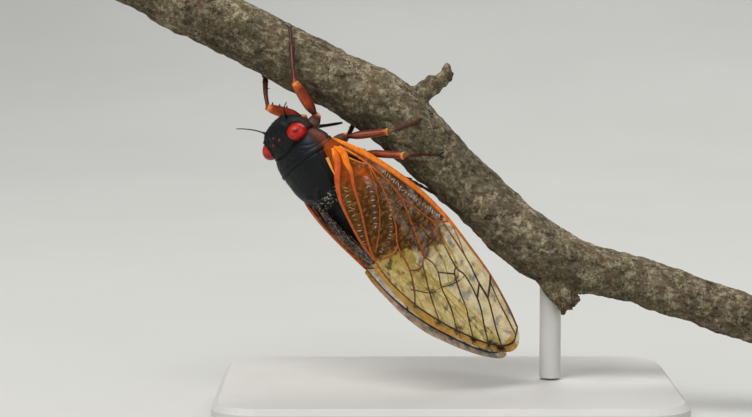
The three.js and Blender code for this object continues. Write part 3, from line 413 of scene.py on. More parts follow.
# A painted sheen: blue light on the black shell, put into its colour
PAINTED_BLUE_SHEEN = (0.010, 0.018, 0.030)
SIDE_RED = (0.13, 0.022, 0.010)
ORANGE = (0.95, 0.24, 0.008)
DEEP_ORANGE = (0.50, 0.085, 0.008)
INNER_RED = (0.62, 0.09, 0.008)
VEIN_RED = (0.40, 0.085, 0.010)
VEIN_DARK = (0.028, 0.014, 0.008)
PALE_RING = (0.80, 0.34, 0.07)
PALE_COXA = (0.20, 0.13, 0.06)
THIGH = (0.24, 0.026, 0.004)
THIGH_STRIPE = (0.50, 0.10, 0.012)
# The middle and hind thighs' colours are this share of the fore thighs', as painted shade under the body
SHADED_THIGH_SHARE = 0.6
SHIN = (0.085, 0.020, 0.010)
PALE_SHIN = (0.22, 0.12, 0.055)
CLAW = (0.015, 0.006, 0.005)
BAND = (0.50, 0.20, 0.04)
EYE_RED = (0.40, 0.006, 0.004)
EYE_BRIGHT = (0.66, 0.022, 0.010)
EYE_DARK = (0.10, 0.0, 0.001)
SMALL_EYE_RED = (0.22, 0.008, 0.006)
SPECK = (0.40, 0.33, 0.20)
# Pale colours painted on the folds as the highlights on their crinkled crests
FOLD_HIGHLIGHTS = {"white": (0.62, 0.50, 0.42), "straw": (0.46, 0.33, 0.15)}
WHITE = (1.0, 1.0, 1.0)
# The fore edge turns these colours, each between two places along the wing
EDGE_COLOURS = [((0.80, 0.20, 0.015), 4, 16), ((0.42, 0.13, 0.02), 19, 24), ((0.12, 0.05, 0.02), 27, 35)]
# Patches of the skin: colour, middle, radii, strength and how uneven. The first is a painted sheen, blue
# light on the black shell at each side of the pronotum; the others are the shell's own colours
SKIN_PATCHES = [
    (PAINTED_BLUE_SHEEN, (2.3, 3.4, 0.8), (1.1, 1.0, 0.9), 1.2, 0.0),
    (SIDE_RED, (2.2, 4.2, -0.8), (1.9, 1.0, 1.1), 1.5, 0.25),
    (DEEP_ORANGE, (-0.1, 4.4, -0.5), (1.1, 0.9, 0.8), 1.3, 0.5),
]
# Pale rear edges of the rings, under the abdomen, and pale flecks at the rear of the back
BAND_WITHIN = (0.68, 0.86)
BAND_COVER = 0.8
UNDERSIDE = (-3.6, -2.4)
FLECKS_BEGIN = (-6.2, -5.4)
FLECKS_END = (-4.6, -4.0)
FLECKS_ABOVE = -0.5
FLECK_NOISE = (0.2, 0.36)


def seen_direction(place):
    """Turns right, up and away as seen into the part's own axes."""
    right, up, away = np.moveaxis(np.asarray(place, float), -1, 0)
    sin, cos = math.sin(LOOK_DOWN), math.cos(LOOK_DOWN)
    return np.stack([right, up * sin + away * cos, up * cos - away * sin], axis=-1)


def seen(place):
    """A seen place in the part's own frame, in mm."""
    return seen_direction(place) + VIEW_CENTRE


def unit(vector):
    return vector / np.linalg.norm(vector, axis=-1, keepdims=True)


BODY_FORWARD = unit(seen_direction(HEADWARD))
BODY_UP = seen_direction(BACK_FACES)
BODY_UP = unit(BODY_UP - BODY_UP.dot(BODY_FORWARD) * BODY_FORWARD)
BODY_RIGHT = np.cross(BODY_FORWARD, BODY_UP)
BODY_ORIGIN = seen(BODY_MIDDLE)


def on_body(place):
    """A body place (forward, right, up) in the part's own frame, in mm."""
    place = np.asarray(place, float)
    axes = np.stack([BODY_FORWARD, BODY_RIGHT, BODY_UP])
    return BODY_ORIGIN + place @ axes


def between(rows, part):
    """Rows of numbers read at parts from 0 to 1, on a smooth curve through all of them."""
    rows = np.asarray(rows, float)
    place = np.asarray(part, float) * (len(rows) - 1)
    first = np.clip(np.floor(place).astype(int), 0, len(rows) - 2)
    t = (place - first)[..., None]
    a, b, c, d = (rows[np.clip(first + k, 0, len(rows) - 1)] for k in (-1, 0, 1, 2))
    return b + 0.5 * t * (c - a + t * (2 * a - 5 * b + 4 * c - d + t * (3 * (b - c) + d - a)))


def smooth(low, high, value):
    t = np.clip((value - low) / (high - low), 0, 1)
    return t * t * (3 - 2 * t)


def mix(a, b, t):
    t = np.asarray(t, float)[..., None]
    return np.asarray(a, float) * (1 - t) + np.asarray(b, float) * t


def with_cover(paint):
    """Paint as rows of four numbers; colours alone are given full cover."""
    paint = np.atleast_2d(np.asarray(paint, float))
    if paint.shape[1] == 4:
        return paint
    return np.concatenate([paint, np.ones((len(paint), 1))], axis=1)


class Soup:
    """Points, faces and paint gathered for one mesh."""

    def __init__(self):
        self.points = []
        self.faces = []
        self.paint = []
        self.count = 0

    def add(self, points, faces, paint):
        points = np.asarray(points, float).reshape(-1, 3)
        paint = np.broadcast_to(with_cover(paint), (len(points), 4))
        self.points.append(points)
        self.paint.append(paint)
        self.faces.extend([tuple(i + self.count for i in face) for face in faces])
        self.count += len(points)

    def make(self, name, scale=MM):
        points = np.concatenate(self.points) * scale
        return new_object(name, points, self.faces, np.concatenate(self.paint))


def link_object(name, data):
    obj = bpy.data.objects.new(name, data)
    bpy.context.scene.collection.objects.link(obj)
    return obj


def new_object(name, points, faces, paint=None):
    mesh = bpy.data.meshes.new(name)
    mesh.from_pydata(points.tolist(), [], [tuple(int(i) for i in face) for face in faces])
    mesh.update()
    obj = link_object(name, mesh)
    if paint is not None:
        set_paint(mesh, paint)
    mesh.polygons.foreach_set("use_smooth", np.ones(len(mesh.polygons), bool))
    return obj


def set_paint(mesh, paint):
    layer = mesh.color_attributes.get("paint") or mesh.color_attributes.new("paint", "FLOAT_COLOR", "POINT")
    layer.data.foreach_set("color", with_cover(paint).astype(np.float32).ravel())


def skin_faces(rings, sides):
    """Faces over rings of points, with a fan at each end round two added points."""
    faces = []
    for ring in range(rings - 1):
        for side in range(sides):
            a, b = ring * sides + side, ring * sides + (side + 1) % sides
            faces.append((a, b, b + sides, a + sides))
    first, last, base = rings * sides, rings * sides + 1, (rings - 1) * sides
    for side in range(sides):
        faces.append(((side + 1) % sides, side, first))
        faces.append((base + side, base + (side + 1) % sides, last))
    return faces


def capped(rings):
    """Ring points with the middle of both end rings after them."""
    flat = rings.reshape(-1, 3)
    return np.concatenate([flat, rings[:1].mean(axis=1), rings[-1:].mean(axis=1)])


def trunk_rings(rows, sides, rise=0.0, squareness=BODY_SQUARENESS):
    """Rings of the trunk in body places; rows is one row of sizes for each ring."""
    turn = np.linspace(0, 2 * math.pi, sides, endpoint=False)
    soften = 2 / squareness
    cos = np.sign(np.cos(turn)) * np.abs(np.cos(turn)) ** soften
    sin = np.sign(np.sin(turn)) * np.abs(np.sin(turn)) ** soften
    forward, half, top, waist, bottom = (rows[:, [k]] for k in range(5))
    rise = np.asarray(rise, float).reshape(-1, 1)
    height = np.where(sin > 0, top - waist, waist - bottom) + rise
    return np.stack([forward + 0 * cos, cos * (half + rise), waist + sin * height], axis=-1)


def smooth_path(points, steps):
    """Places and directions along a smooth path through points."""
    part = np.linspace(0, 1, steps + 1)
    places = between(points, part)
    along = unit(np.gradient(places, axis=0))
    return places, along


def tube_rings(points, radii, sides, steps, flat=1.0, hint=(0.0, 0.0, 1.0)):
    """Rings of a tapering tube; flat squashes it along the hint direction."""
    places, along = smooth_path(points, steps)
    radius = between([[r] for r in radii], np.linspace(0, 1, steps + 1))
    rings = []
    over = np.asarray(hint, float)
    for at, way, size in zip(places, along, radius):
        over = unit(over - over.dot(way) * way)
        across = np.cross(way, over)
        turn = np.linspace(0, 2 * math.pi, sides, endpoint=False)[:, None]
        rings.append(at + size * (np.cos(turn) * across + np.sin(turn) * over * flat))
    return np.array(rings)


def add_tube(soup, points, radii, sides, steps, paint, flat=1.0, hint=(0.0, 0.0, 1.0), streak=None):
    """A closed tube, painted along its length, with a streak of another colour on both its sides."""
    rings = tube_rings(points, radii, sides, steps, flat, hint)
    paint = np.atleast_2d(paint)
    part = np.linspace(0, 1, steps + 1)
    colours = np.repeat(paint, steps + 1, axis=0) if len(paint) == 1 else np.clip(between(paint, part), 0, 1)
    ring_paint = np.repeat(colours[:, None], sides, axis=1)
    if streak is not None:
        turn = np.linspace(0, 2 * math.pi, sides, endpoint=False)
        inner = smooth(0.1, 0.3, part) * (1 - smooth(0.8, 0.95, part))
        ring_paint = mix(ring_paint, streak, inner[:, None] * np.abs(np.cos(turn)) ** 6)
    ring_paint = np.concatenate([ring_paint.reshape(-1, 3), colours[[0, -1]]])
    soup.add(capped(rings), skin_faces(len(rings), sides), ring_paint)


def remeshed(obj, voxel):
    """The object rebuilt as one closed skin on a grid of that pitch."""
    change = obj.modifiers.new("one_skin", "REMESH")
    change.mode = "VOXEL"
    change.voxel_size = voxel
    change.use_smooth_shade = True
    graph = bpy.context.evaluated_depsgraph_get()
    mesh = bpy.data.meshes.new_from_object(obj.evaluated_get(graph))
    name = obj.name
    old = obj.data
    bpy.data.objects.remove(obj)
    bpy.data.meshes.remove(old)
    return link_object(name, mesh)


def get_points(mesh):
    points = np.empty(len(mesh.vertices) * 3)
    mesh.vertices.foreach_get("co", points)
    return points.reshape(-1, 3)


def get_normals(mesh):
    normals = np.empty(len(mesh.vertices) * 3)
    mesh.vertex_normals.foreach_get("vector", normals)
    return normals.reshape(-1, 3)


def set_points(mesh, points):
    mesh.vertices.foreach_set("co", np.ascontiguousarray(points, dtype=np.float32).ravel())
    mesh.update()


def waves(points, size, seed, octaves=2):
    """Soft noise at points, about -1 to 1."""
    offset = Vector((seed * 7.3, seed * 3.1, seed * 5.7))
    return np.array([noise.fractal(Vector(p) / size + offset, 0.6, 2.0, octaves) for p in points])


def dent(distance, width):
    """1 at no distance, falling smoothly to nearly 0 past about two widths."""
    return np.exp(-(distance / width) ** 2)


def line_distance(x, y, a, b):
    """Distance from points to the line between a and b, in two directions."""
    a, b = np.array(a, float), np.array(b, float)
    way = b - a
    t = np.clip(((x - a[0]) * way[0] + (y - a[1]) * way[1]) / way.dot(way), 0, 1)
    return np.hypot(x - a[0] - t * way[0], y - a[1] - t * way[1])


# Materials

class Look:
    """A material being made: its nodes, its links and its main shader."""

    def __init__(self, name):
        self.material = bpy.data.materials.new(name)
        self.material.use_nodes = True
        self.nodes = self.material.node_tree.nodes
        self.links = self.material.node_tree.links
        self.shader = self.nodes["Principled BSDF"]

    def feed(self, name, value, node=None):
        """Gives an input, of the shader where no node is named, a number, a colour or another output."""
        socket = (node or self.shader).inputs[name]
        if isinstance(value, bpy.types.NodeSocket):
            self.links.new(value, socket)
        else:
            socket.default_value = value

    def texture(self, kind, output, way, **settings):
        """A texture in the object's own space, turned and stretched where a way is given."""
        node = self.nodes.new(kind)
        for name, value in settings.items():
            self.feed(name, value, node)
        place = self.nodes.new("ShaderNodeTexCoord").outputs["Object"]
        if way is not None:
            mapping = self.nodes.new("ShaderNodeMapping")
            self.feed("Rotation", way[0], mapping)
            self.feed("Scale", way[1], mapping)
            self.feed("Vector", place, mapping)
            place = mapping.outputs["Vector"]
        self.feed("Vector", place, node)
        return node.outputs[output]

    def noise(self, scale, detail=4.0, roughness=0.6, way=None):
        return self.texture("ShaderNodeTexNoise", "Fac", way, Scale=scale, Detail=detail, Roughness=roughness)

    def cells(self, scale):
        return self.texture("ShaderNodeTexVoronoi", "Distance", None, Scale=scale)

    def ramp(self, value, low, high, start=0.0, end=1.0):
        """A value squeezed from the range low..high into start..end."""
        node = self.nodes.new("ShaderNodeMapRange")
        for name, amount in (("From Min", low), ("From Max", high), ("To Min", start), ("To Max", end)):
            self.feed(name, amount, node)
        self.feed("Value", value, node)
        return node.outputs["Result"]

    def blend(self, factor, first, second, kind="MIX"):
        node = self.nodes.new("ShaderNodeMix")
        node.data_type = "RGBA"
        node.blend_type = kind
        sockets = [s for s in node.inputs if s.type == "RGBA"]
        for socket, value in zip(sockets, (first, second)):
            if isinstance(value, tuple):
                socket.default_value = (*value, 1.0)
            else:
                self.links.new(value, socket)
        self.feed("Factor", factor, node)
        return next(s for s in node.outputs if s.type == "RGBA")

    def bump(self, height, strength, distance):
        node = self.nodes.new("ShaderNodeBump")
        self.feed("Strength", strength, node)
        self.feed("Distance", distance, node)
        self.feed("Height", height, node)
        self.feed("Normal", node.outputs["Normal"])

    def painted(self, shade):
        """The mesh's own paint, times a shade, as the colour; gives the paint's node."""
        node = self.nodes.new("ShaderNodeAttribute")
        node.attribute_name = "paint"
        self.feed("Base Color", self.blend(1.0, node.outputs["Color"], shade, "MULTIPLY"))
        return node


def shell_material():
    """Black, finely punctured shell with a faint blue-green sheen painted into its colour, and its painted
    marks.
    """
    look = Look("shell")
    soft = look.noise(900.0, 6.0)
    # Painted sheen: cloudy patches of the colour are tinted blue-green
    sheen = look.ramp(look.noise(260.0, 3.0), 0.35, 0.75)
    look.painted(look.blend(sheen, WHITE, (0.8, 1.1, 1.35)))
    look.feed("Roughness", look.ramp(soft, 0.3, 0.7, 0.36, 0.58))
    look.feed("Specular IOR Level", 0.2)
    pits = look.ramp(look.cells(6500.0), 0.0, 0.5)
    look.bump(look.blend(0.5, pits, soft), 0.35, 0.00006)
    return look.material


def eye_material():
    """Glossy red eye of many facets, with a darker middle."""
    look = Look("eye")
    look.painted(look.blend(look.ramp(look.noise(1500.0), 0.35, 0.7), WHITE, (0.62, 0.5, 0.5)))
    look.feed("Roughness", 0.34)
    look.feed("Specular IOR Level", 0.3)
    look.feed("Coat Weight", 0.12)
    look.feed("Coat Roughness", 0.12)
    look.feed("Subsurface Weight", 0.05)
    look.feed("Subsurface Radius", (0.0006, 0.0001, 0.0001))
    look.bump(look.cells(14000.0), 0.12, 0.00003)
    return look.material


def uneven_look(name, scale, fade, dark, pale, roughness, strength, distance):
    """Painted shell whose shade, roughness and height all follow one noise."""
    look = Look(name)
    uneven = look.noise(scale, 5.0)
    look.painted(look.blend(look.ramp(uneven, *fade), dark, pale))
    look.feed("Roughness", look.ramp(uneven, 0.3, 0.7, *roughness))
    look.feed("Specular IOR Level", 0.35)
    look.bump(uneven, strength, distance)
    return look


def leg_material():
    """Satin leg shell with painted bands, blotches and fine pits."""
    dark, pale = (0.55, 0.45, 0.42), (1.3, 1.25, 1.2)
    look = uneven_look("leg", 1100.0, (0.35, 0.65), dark, pale, (0.3, 0.5), 0.4, 0.00005)
    look.feed("Subsurface Weight", 0.04)
    look.feed("Subsurface Radius", (0.0005, 0.0001, 0.0001))
    return look.material


def vein_material():
    """Hard, slightly uneven vein, painted orange near the root to brown at the tip."""
    dark, pale = (0.75, 0.68, 0.62), (1.2, 1.2, 1.2)
    return uneven_look("vein", 1600.0, (0.3, 0.7), dark, pale, (0.25, 0.42), 0.3, 0.00004).material


def membrane_material():
    """Stained and crinkled wing film; the paint's cover says how clear it is."""
    look = Look("membrane")
    stain = look.ramp(look.noise(700.0, 6.0), 0.38, 0.68)
    paint = look.painted(look.blend(stain, (1.15, 1.1, 1.0), (0.6, 0.5, 0.4)))
    cover = look.nodes.new("ShaderNodeMath")
    cover.operation = "MULTIPLY"
    cover.use_clamp = True
    look.feed(0, paint.outputs["Alpha"], cover)
    look.feed(1, look.ramp(stain, 0.0, 1.0, 0.85, 1.3), cover)
    look.feed("Alpha", cover.outputs["Value"])
    crinkles = look.noise(1500.0, 5.0, 0.65)
    look.feed("Roughness", look.ramp(crinkles, 0.3, 0.7, 0.22, 0.46))
    look.feed("IOR", 1.15)
    look.bump(crinkles, 0.35, 0.00006)
    return look.material


def bark_material():
    """Grey-brown bark with olive and pale lichen flakes, fine cracks along it and dark specks."""
    look = Look("bark")
    streak = look.noise(800.0, 8.0, 0.72, ((0.0, math.radians(32), 0.0), (0.4, 1.4, 1.4)))
    fine = look.noise(2200.0, 6.0, 0.7)
    colour = look.blend(look.ramp(streak, 0.38, 0.62), (0.032, 0.022, 0.013), (0.175, 0.135, 0.088))
    olive = look.ramp(look.noise(150.0, 6.0), 0.42, 0.62)
    flakes = look.ramp(look.noise(950.0, 10.0, 0.85), 0.5, 0.58)
    rust = look.ramp(look.noise(330.0, 5.0, 0.7), 0.58, 0.7)
    specks = look.ramp(fine, 0.36, 0.47, 0.9, 0.0)
    colour = look.blend(olive, colour, (0.100, 0.084, 0.046))
    colour = look.blend(flakes, colour, (0.300, 0.262, 0.178))
    colour = look.blend(rust, colour, (0.105, 0.055, 0.026))
    colour = look.blend(specks, colour, (0.022, 0.016, 0.010))
    look.painted(colour)
    look.feed("Roughness", 0.92)
    look.feed("Specular IOR Level", 0.25)
    look.bump(look.blend(0.5, streak, fine), 0.9, 0.0003)
    return look.material


def cloudy_look(name, scale, dark, pale):
    look = Look(name)
    cloud = look.ramp(look.noise(scale, 3.0), 0.3, 0.7)
    look.feed("Base Color", look.blend(cloud, dark, pale))
    return look


def stand_material():
    """Pale satin display stand with a very fine cast grain."""
    look = cloudy_look("stand", 60.0, (0.60, 0.59, 0.56), (0.66, 0.65, 0.62))
    grain = look.noise(1400.0, 6.0)
    look.feed("Roughness", look.ramp(grain, 0.3, 0.7, 0.42, 0.58))
    look.bump(grain, 0.15, 0.00008)
    return look.material


def floor_material():
    look = cloudy_look("floor", 8.0, (0.60, 0.60, 0.58), (0.64, 0.64, 0.62))
    look.feed("Roughness", 0.85)
    return look.material


# Camera, floor and light

def add_camera():
    camera = bpy.data.cameras.new("camera")
    camera.sensor_width = SENSOR
    camera.sensor_fit = "HORIZONTAL"
    camera.lens = SENSOR * VIEW_DISTANCE / VIEW_WIDTH
    camera.clip_start = NEAREST_SEEN * MM
    obj = link_object("camera", camera)
    right, up, away = (Vector(seen_direction(way)) for way in np.eye(3))
    turn = Matrix((right, up, -away)).transposed().to_4x4()
    obj.matrix_world = Matrix.Translation(seen((0, 0, -VIEW_DISTANCE)) * MM) @ turn
    bpy.context.scene.camera = obj


def add_floor():
    """Flat floor that sweeps up into a backdrop behind."""
    profile = [(-SWEEP_START * 2, 0.0), (SWEEP_START, 0.0)]
    for step in range(1, SWEEP_STEPS + 1):
        turn = math.radians(90 * step / SWEEP_STEPS)
        profile.append((SWEEP_START + SWEEP_RADIUS * math.sin(turn), SWEEP_RADIUS * (1 - math.cos(turn))))
    profile.append((SWEEP_START + SWEEP_RADIUS, SWEEP_RADIUS * 2))
    points = [(x, y, z) for y, z in profile for x in (-FLOOR_HALF, FLOOR_HALF)]
    faces = [(2 * k, 2 * k + 1, 2 * k + 3, 2 * k + 2) for k in range(len(profile) - 1)]
    floor = new_object("floor", np.array(points), faces)
    floor.data.materials.append(floor_material())


def add_lamp(name, place, size, power, colour):
    light = bpy.data.lights.new(name, "AREA")
    light.energy = power
    light.size = size
    light.color = colour
    obj = link_object(name, light)
    obj.location = place
    obj.rotation_euler = (Vector(LAMPS_FACE) - Vector(place)).to_track_quat("-Z", "Y").to_euler()


def add_light():
    for name, lamp in LAMPS.items():
        add_lamp(name, *lamp)
    bpy.context.scene.view_settings.view_transform = "Standard"
    world = bpy.data.worlds.new("world")
    world.use_nodes = True
    background = world.node_tree.nodes["Background"]
    background.inputs["Color"].default_value = ROOM_COLOUR
    background.inputs["Strength"].default_value = ROOM_STRENGTH
    bpy.context.scene.world = world


# Body

def body_soup():
    """All the parts of head, thorax and abdomen as overlapping closed forms, in body places."""
    soup = Soup()
    add_rings(soup, trunk_rings(between(THORAX_ROWS, np.linspace(0, 1, 121)), BODY_SIDES))
    add_rings(soup, trunk_rings(between(HEAD_ROWS, np.linspace(0, 1, 81)), BODY_SIDES, 0.0, HEAD_SQUARENESS))
    add_rings(soup, abdomen_rings())
    add_rings(soup, face_rings())
    for forward, side, up in CROSS_ARMS:
        for right in (side, -side):
            end = (CROSS_AT[0] + forward, right, CROSS_AT[2] + up)
            middle = (CROSS_AT[0] + forward / 2, right * 0.4, CROSS_AT[2] + up / 3)
            add_tube(soup, [CROSS_AT, middle, end], CROSS_RADII, 20, 12, BLACK)
    return soup


def add_rings(soup, rings):
    soup.add(capped(rings), skin_faces(rings.shape[0], rings.shape[1]), BLACK)


def abdomen_rings():
    """Overlapping rings of the abdomen, each a little proud of the next."""
    part = np.linspace(0, 1, ABDOMEN_SEGMENTS * RING_STEPS + 1)
    within = (part * ABDOMEN_SEGMENTS) % 1.0
    rise = RING_PROUD * within - RING_GROOVE * (dent(within, 0.07) + dent(within - 1.0, 0.02))
    return trunk_rings(between(ABDOMEN_ROWS, part), 112, rise)


def face_rings():
    """Swollen front of the face, a little flattened at the middle of its front and rear."""
    turn = np.linspace(0.03, math.pi - 0.03, 90)[:, None]
    around = np.linspace(0, 2 * math.pi, 72, endpoint=False)[None, :]
    middle = 1 - 0.08 * dent(np.sin(around), 0.12)
    forward = FACE_AT[0] + np.cos(around) * np.sin(turn) * FACE_RADII[0] * middle
    side = FACE_AT[1] + np.sin(around) * np.sin(turn) * FACE_RADII[1]
    up = FACE_AT[2] + np.cos(turn) * FACE_RADII[2] + 0 * around
    return np.stack([forward, side, up], axis=-1)


def skin_parts(x, out, z):
    """How far each place belongs to each part of the skin, from 0 to 1."""
    back = smooth(-1.6, -0.4, z)
    thorax = smooth(-5.8, -5.4, x) * (1 - smooth(3.35, 3.6, x))
    head = smooth(3.5, 3.8, x)
    return {
        "back": back,
        "shield": back * smooth(1.6, 1.9, x),
        "edge": smooth(-0.3, 0.3, z),
        "side": (1 - back) * thorax * smooth(2.0, 2.6, out),
        "flank": thorax * smooth(2.4, 3.0, out),
        "neck": smooth(-3.6, -3.0, z),
        "head": head,
        "parting": head * smooth(0.8, 1.2, z) * (1 - smooth(6.0, 6.4, x)),
        "plates": head * smooth(-0.4, 0.1, z),
        "brow": head * smooth(0.4, 0.8, z),
        "crown": head * smooth(0.6, 1.0, z),
        "cheek": head * smooth(5.0, 5.6, x),
        "face": head * smooth(5.6, 6.3, x),
    }


def sculpt_body(points):
    """How far the skin is raised or sunk at each body place: grooves, collars, rims and lumps."""
    x, y, z = points.T
    out = np.abs(y)
    parts = skin_parts(x, out, z)
    views = {"top": (x, out), "side": (x, z), "front": (out, z)}
    rise = np.zeros(len(points))
    for view, start, end, height, width, part in RELIEF_LINES:
        rise += height * dent(line_distance(*views[view], start, end), width) * parts[part]
    for forward, bend, height, width, part in RELIEF_BANDS:
        rise += height * dent(x - forward - bend * out ** 2, width) * parts[part]
    for height, width, part in MIDDLE_GROOVES:
        rise += height * dent(y, width) * parts[part]
    for forward, right, height, width, part in PITS:
        rise += height * dent(np.hypot(x - forward, out - right), width) * parts[part]
    level, slope, height, width = FLANK_GROOVE
    rise += height * dent(z - level - slope * x, width) * parts["flank"]
    for forward, up, size in LUMPS:
        rise += LUMP_HEIGHT * dent(np.hypot(np.hypot(x - forward, out - LUMPS_OUT), z - up), size)
    rise += EYE_RIM_HEIGHT * dent(from_eye(x, y, z) - EYE_RIM_AT, EYE_RIM_WIDTH) * parts["head"]
    return rise + face_relief(y, z) * parts["face"]


def from_eye(x, y, z):
    """Distance from the nearer eye's middle, 1 on its surface."""
    reach = np.full(x.shape, np.inf)
    for name, side in (("left", -1), ("right", 1)):
        at = EYES_AT[name]
        turn = side * EYE_SWEEP
        front = (x - at[0]) * math.cos(turn) + (y - at[1]) * math.sin(turn)
        out = (y - at[1]) * math.cos(turn) - (x - at[0]) * math.sin(turn)
        shares = (front / EYE_RADII[0], out / EYE_RADII[1], (z - at[2]) / EYE_RADII[2])
        reach = np.minimum(reach, np.sqrt(sum(share ** 2 for share in shares)))
    return reach


def face_relief(y, z):
    """Ribs across the face, the oval groove round them and a groove down the middle."""
    level = z - FACE_OVAL_LEVEL
    oval = np.hypot(y / FACE_OVAL[0], level / FACE_OVAL[1])
    ribs = FACE_RIB_HEIGHT * np.cos(level * 2 * math.pi / FACE_RIB_STEP) * smooth(0.08, 0.3, np.abs(y))
    rise = ribs * (1 - smooth(0.75, 0.95, oval)) + FACE_GROOVE_HEIGHT * dent(oval - 1, 0.08)
    return rise + FACE_MIDDLE_HEIGHT * dent(y, 0.1) * (oval < 0.9)


def paint_body(points):
    """Black shell with a painted blue sheen on each side of the pronotum, red-brown patch behind each eye and
    pale rear edges under the abdomen.
    """
    x, y, z = points.T
    places = np.stack([x, np.abs(y), z], axis=-1)
    paint = np.broadcast_to(np.array(BLACK), points.shape).copy()
    speckle = waves(points, 0.45, 3.0)
    # The first patch is a painted blue sheen; the red and orange patches are the shell's own colour
    for colour, middle, radii, strength, uneven in SKIN_PATCHES:
        near = dent(np.linalg.norm((places - middle) / radii, axis=1), 1.0)
        paint = mix(paint, colour, np.clip(near * (strength + uneven * speckle), 0, 1))
    part = abdomen_part(x)
    within = (part * ABDOMEN_SEGMENTS) % 1.0
    under = 1 - smooth(*UNDERSIDE, z)
    band = smooth(*BAND_WITHIN, within) * (part > 0) * (part < 1)
    paint = mix(paint, BAND, band * np.clip(under + 0.2 * speckle, 0, 1) * BAND_COVER * under)
    rear = smooth(*FLECKS_BEGIN, x) * (1 - smooth(*FLECKS_END, x)) * (z > FLECKS_ABOVE)
    flecks = smooth(*FLECK_NOISE, waves(points, 0.26, 9.0, 1)) * rear
    return mix(paint, SPECK, np.clip(flecks * 1.4, 0, 0.9))


def abdomen_part(x):
    """Where a forward place lies along the abdomen's rows, from 0 to 1."""
    part = np.linspace(0, 1, 200)
    forward = between(ABDOMEN_ROWS, part)[:, 0]
    return np.interp(-x, -forward, part, left=0.0, right=1.0)


def add_body():
    skin = remeshed(body_soup().make("body_skin", 1.0), SKIN_VOXEL)
    mesh = skin.data
    for _ in range(2):
        relax(mesh)
    points = get_points(mesh)
    points = points + get_normals(mesh) * sculpt_body(points)[:, None]
    set_paint(mesh, paint_body(points))
    set_points(mesh, on_body(points) * MM)
    finish_piece(skin, shell_material(), "shell", "head", "pronotum", "mesonotum", "thorax", "abdomen")


def relax(mesh):
    """Softens a mesh once, each point towards the middle of its neighbours."""
    points = get_points(mesh)
    edges = np.empty(len(mesh.edges) * 2, int)
    mesh.edges.foreach_get("vertices", edges)
    edges = edges.reshape(-1, 2)
    total = np.zeros_like(points)
    count = np.zeros(len(points))
    for a, b in ((0, 1), (1, 0)):
        np.add.at(total, edges[:, a], points[edges[:, b]])
        np.add.at(count, edges[:, a], 1)
    set_points(mesh, points * 0.5 + 0.5 * total / count[:, None])


def finish_piece(obj, material, slot, *nodes):
    obj.data.materials.clear()
    obj.data.materials.append(material)
    obj.data.polygons.foreach_set("use_smooth", np.ones(len(obj.data.polygons), bool))
    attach(obj, "root")
    if nodes:
        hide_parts(*nodes)


def sphere_rings(at, radii, sides, steps):
    turn = np.linspace(0.02, math.pi - 0.02, steps)[:, None]
    around = np.linspace(0, 2 * math.pi, sides, endpoint=False)[None, :]
    return np.stack([
        at[0] + radii[0] * np.sin(turn) * np.cos(around),
        at[1] + radii[1] * np.sin(turn) * np.sin(around),
        at[2] + radii[2] * np.cos(turn) + 0 * around,
    ], axis=-1)


def add_eyes():
    material = eye_material()
    axes = np.stack([BODY_FORWARD, BODY_RIGHT, BODY_UP])
    for name, side in (("left", -1), ("right", 1)):
        at = np.array(EYES_AT[name])
        rings = sphere_rings((0.0, 0.0, 0.0), EYE_RADII, 96, 64)
        cos, sin = math.cos(side * EYE_SWEEP), math.sin(side * EYE_SWEEP)
        points = at + capped(rings) @ np.array([[cos, sin, 0], [-sin, cos, 0], [0, 0, 1]])
        facing = unit(points - at) @ axes @ unit(seen_direction(EYE_FACES))
        spot = smooth(*SPOT_FACING, facing)
        ring = smooth(*RING_FACING, facing) * (1 - spot)
        paint = mix(np.broadcast_to(EYE_RED, points.shape), EYE_BRIGHT, ring)
        paint = mix(paint, EYE_DARK, spot * SPOT_COVER)
        soup = Soup()
        soup.add(on_body(points), skin_faces(rings.shape[0], rings.shape[1]), paint)
        finish_piece(soup.make("eye_" + name + "_lens"), material, "eye", "eye_" + name)
    soup = Soup()
    for at in SMALL_EYES:
        rings = sphere_rings(at, SMALL_EYE_RADII, 32, 20)
        soup.add(on_body(capped(rings)), skin_faces(rings.shape[0], rings.shape[1]), SMALL_EYE_RED)
    finish_piece(soup.make("small_eyes"), material, "eye")


def add_feelers():
    """Two short joints and a thin whip of short rings on each side."""
    material = leg_material()
    taper = 1 - WHIP_TAPER * np.arange(WHIP_RINGS) / WHIP_RINGS
    whip = WHIP_RADIUS * taper * (1 + WHIP_RING_PROUD * (-1.0) ** np.arange(WHIP_RINGS))
    for name, way in FEELER_PATHS.items():
        path = on_body(way)
        soup = Soup()
        for (start, end), radii in FEELER_JOINTS:
            add_tube(soup, between(path, np.linspace(start, end, 3)), radii, 24, 10, BLACK)
        add_tube(soup, between(path, np.linspace(WHIP_START, 1.0, 12)), whip, 12, WHIP_RINGS - 1, CLAW)
        finish_piece(soup.make("feeler_" + name), material, "shell", "antenna_" + name)


def add_beak():
    soup = Soup()
    path = on_body(BEAK_PATH)
    add_tube(soup, path, BEAK_RADII, 24, 60, [SHIN, CLAW, BLACK])
    add_tube(soup, path[1:] + BODY_FORWARD * STYLET_AHEAD, STYLET_RADII, 12, 30, CLAW)
    finish_piece(soup.make("beak_sheath"), leg_material(), "shell", "beak")


# Legs

def add_legs():
    material = leg_material()
    for name, (root, hip, knee, ankle, claw) in LEGS.items():
        thigh, shin, spines = LEG_PAIRS[name.split("_")[0]]
        root, hip = on_body(root), on_body(hip)
        knee, ankle, claw = seen(knee), seen(ankle), seen(claw)
        soup = Soup()
        add_coxa(soup, root, hip)
        add_thigh(soup, thigh, spines, hip, knee, ankle)
        add_shin(soup, shin, THIGH if spines else PALE_SHIN, hip, knee, ankle)
        add_foot(soup, ankle, claw)
        nodes = ["leg_" + name + "_femur", "leg_" + name + "_tibia"]
        finish_piece(soup.make("limb_" + name), material, "leg", *nodes)


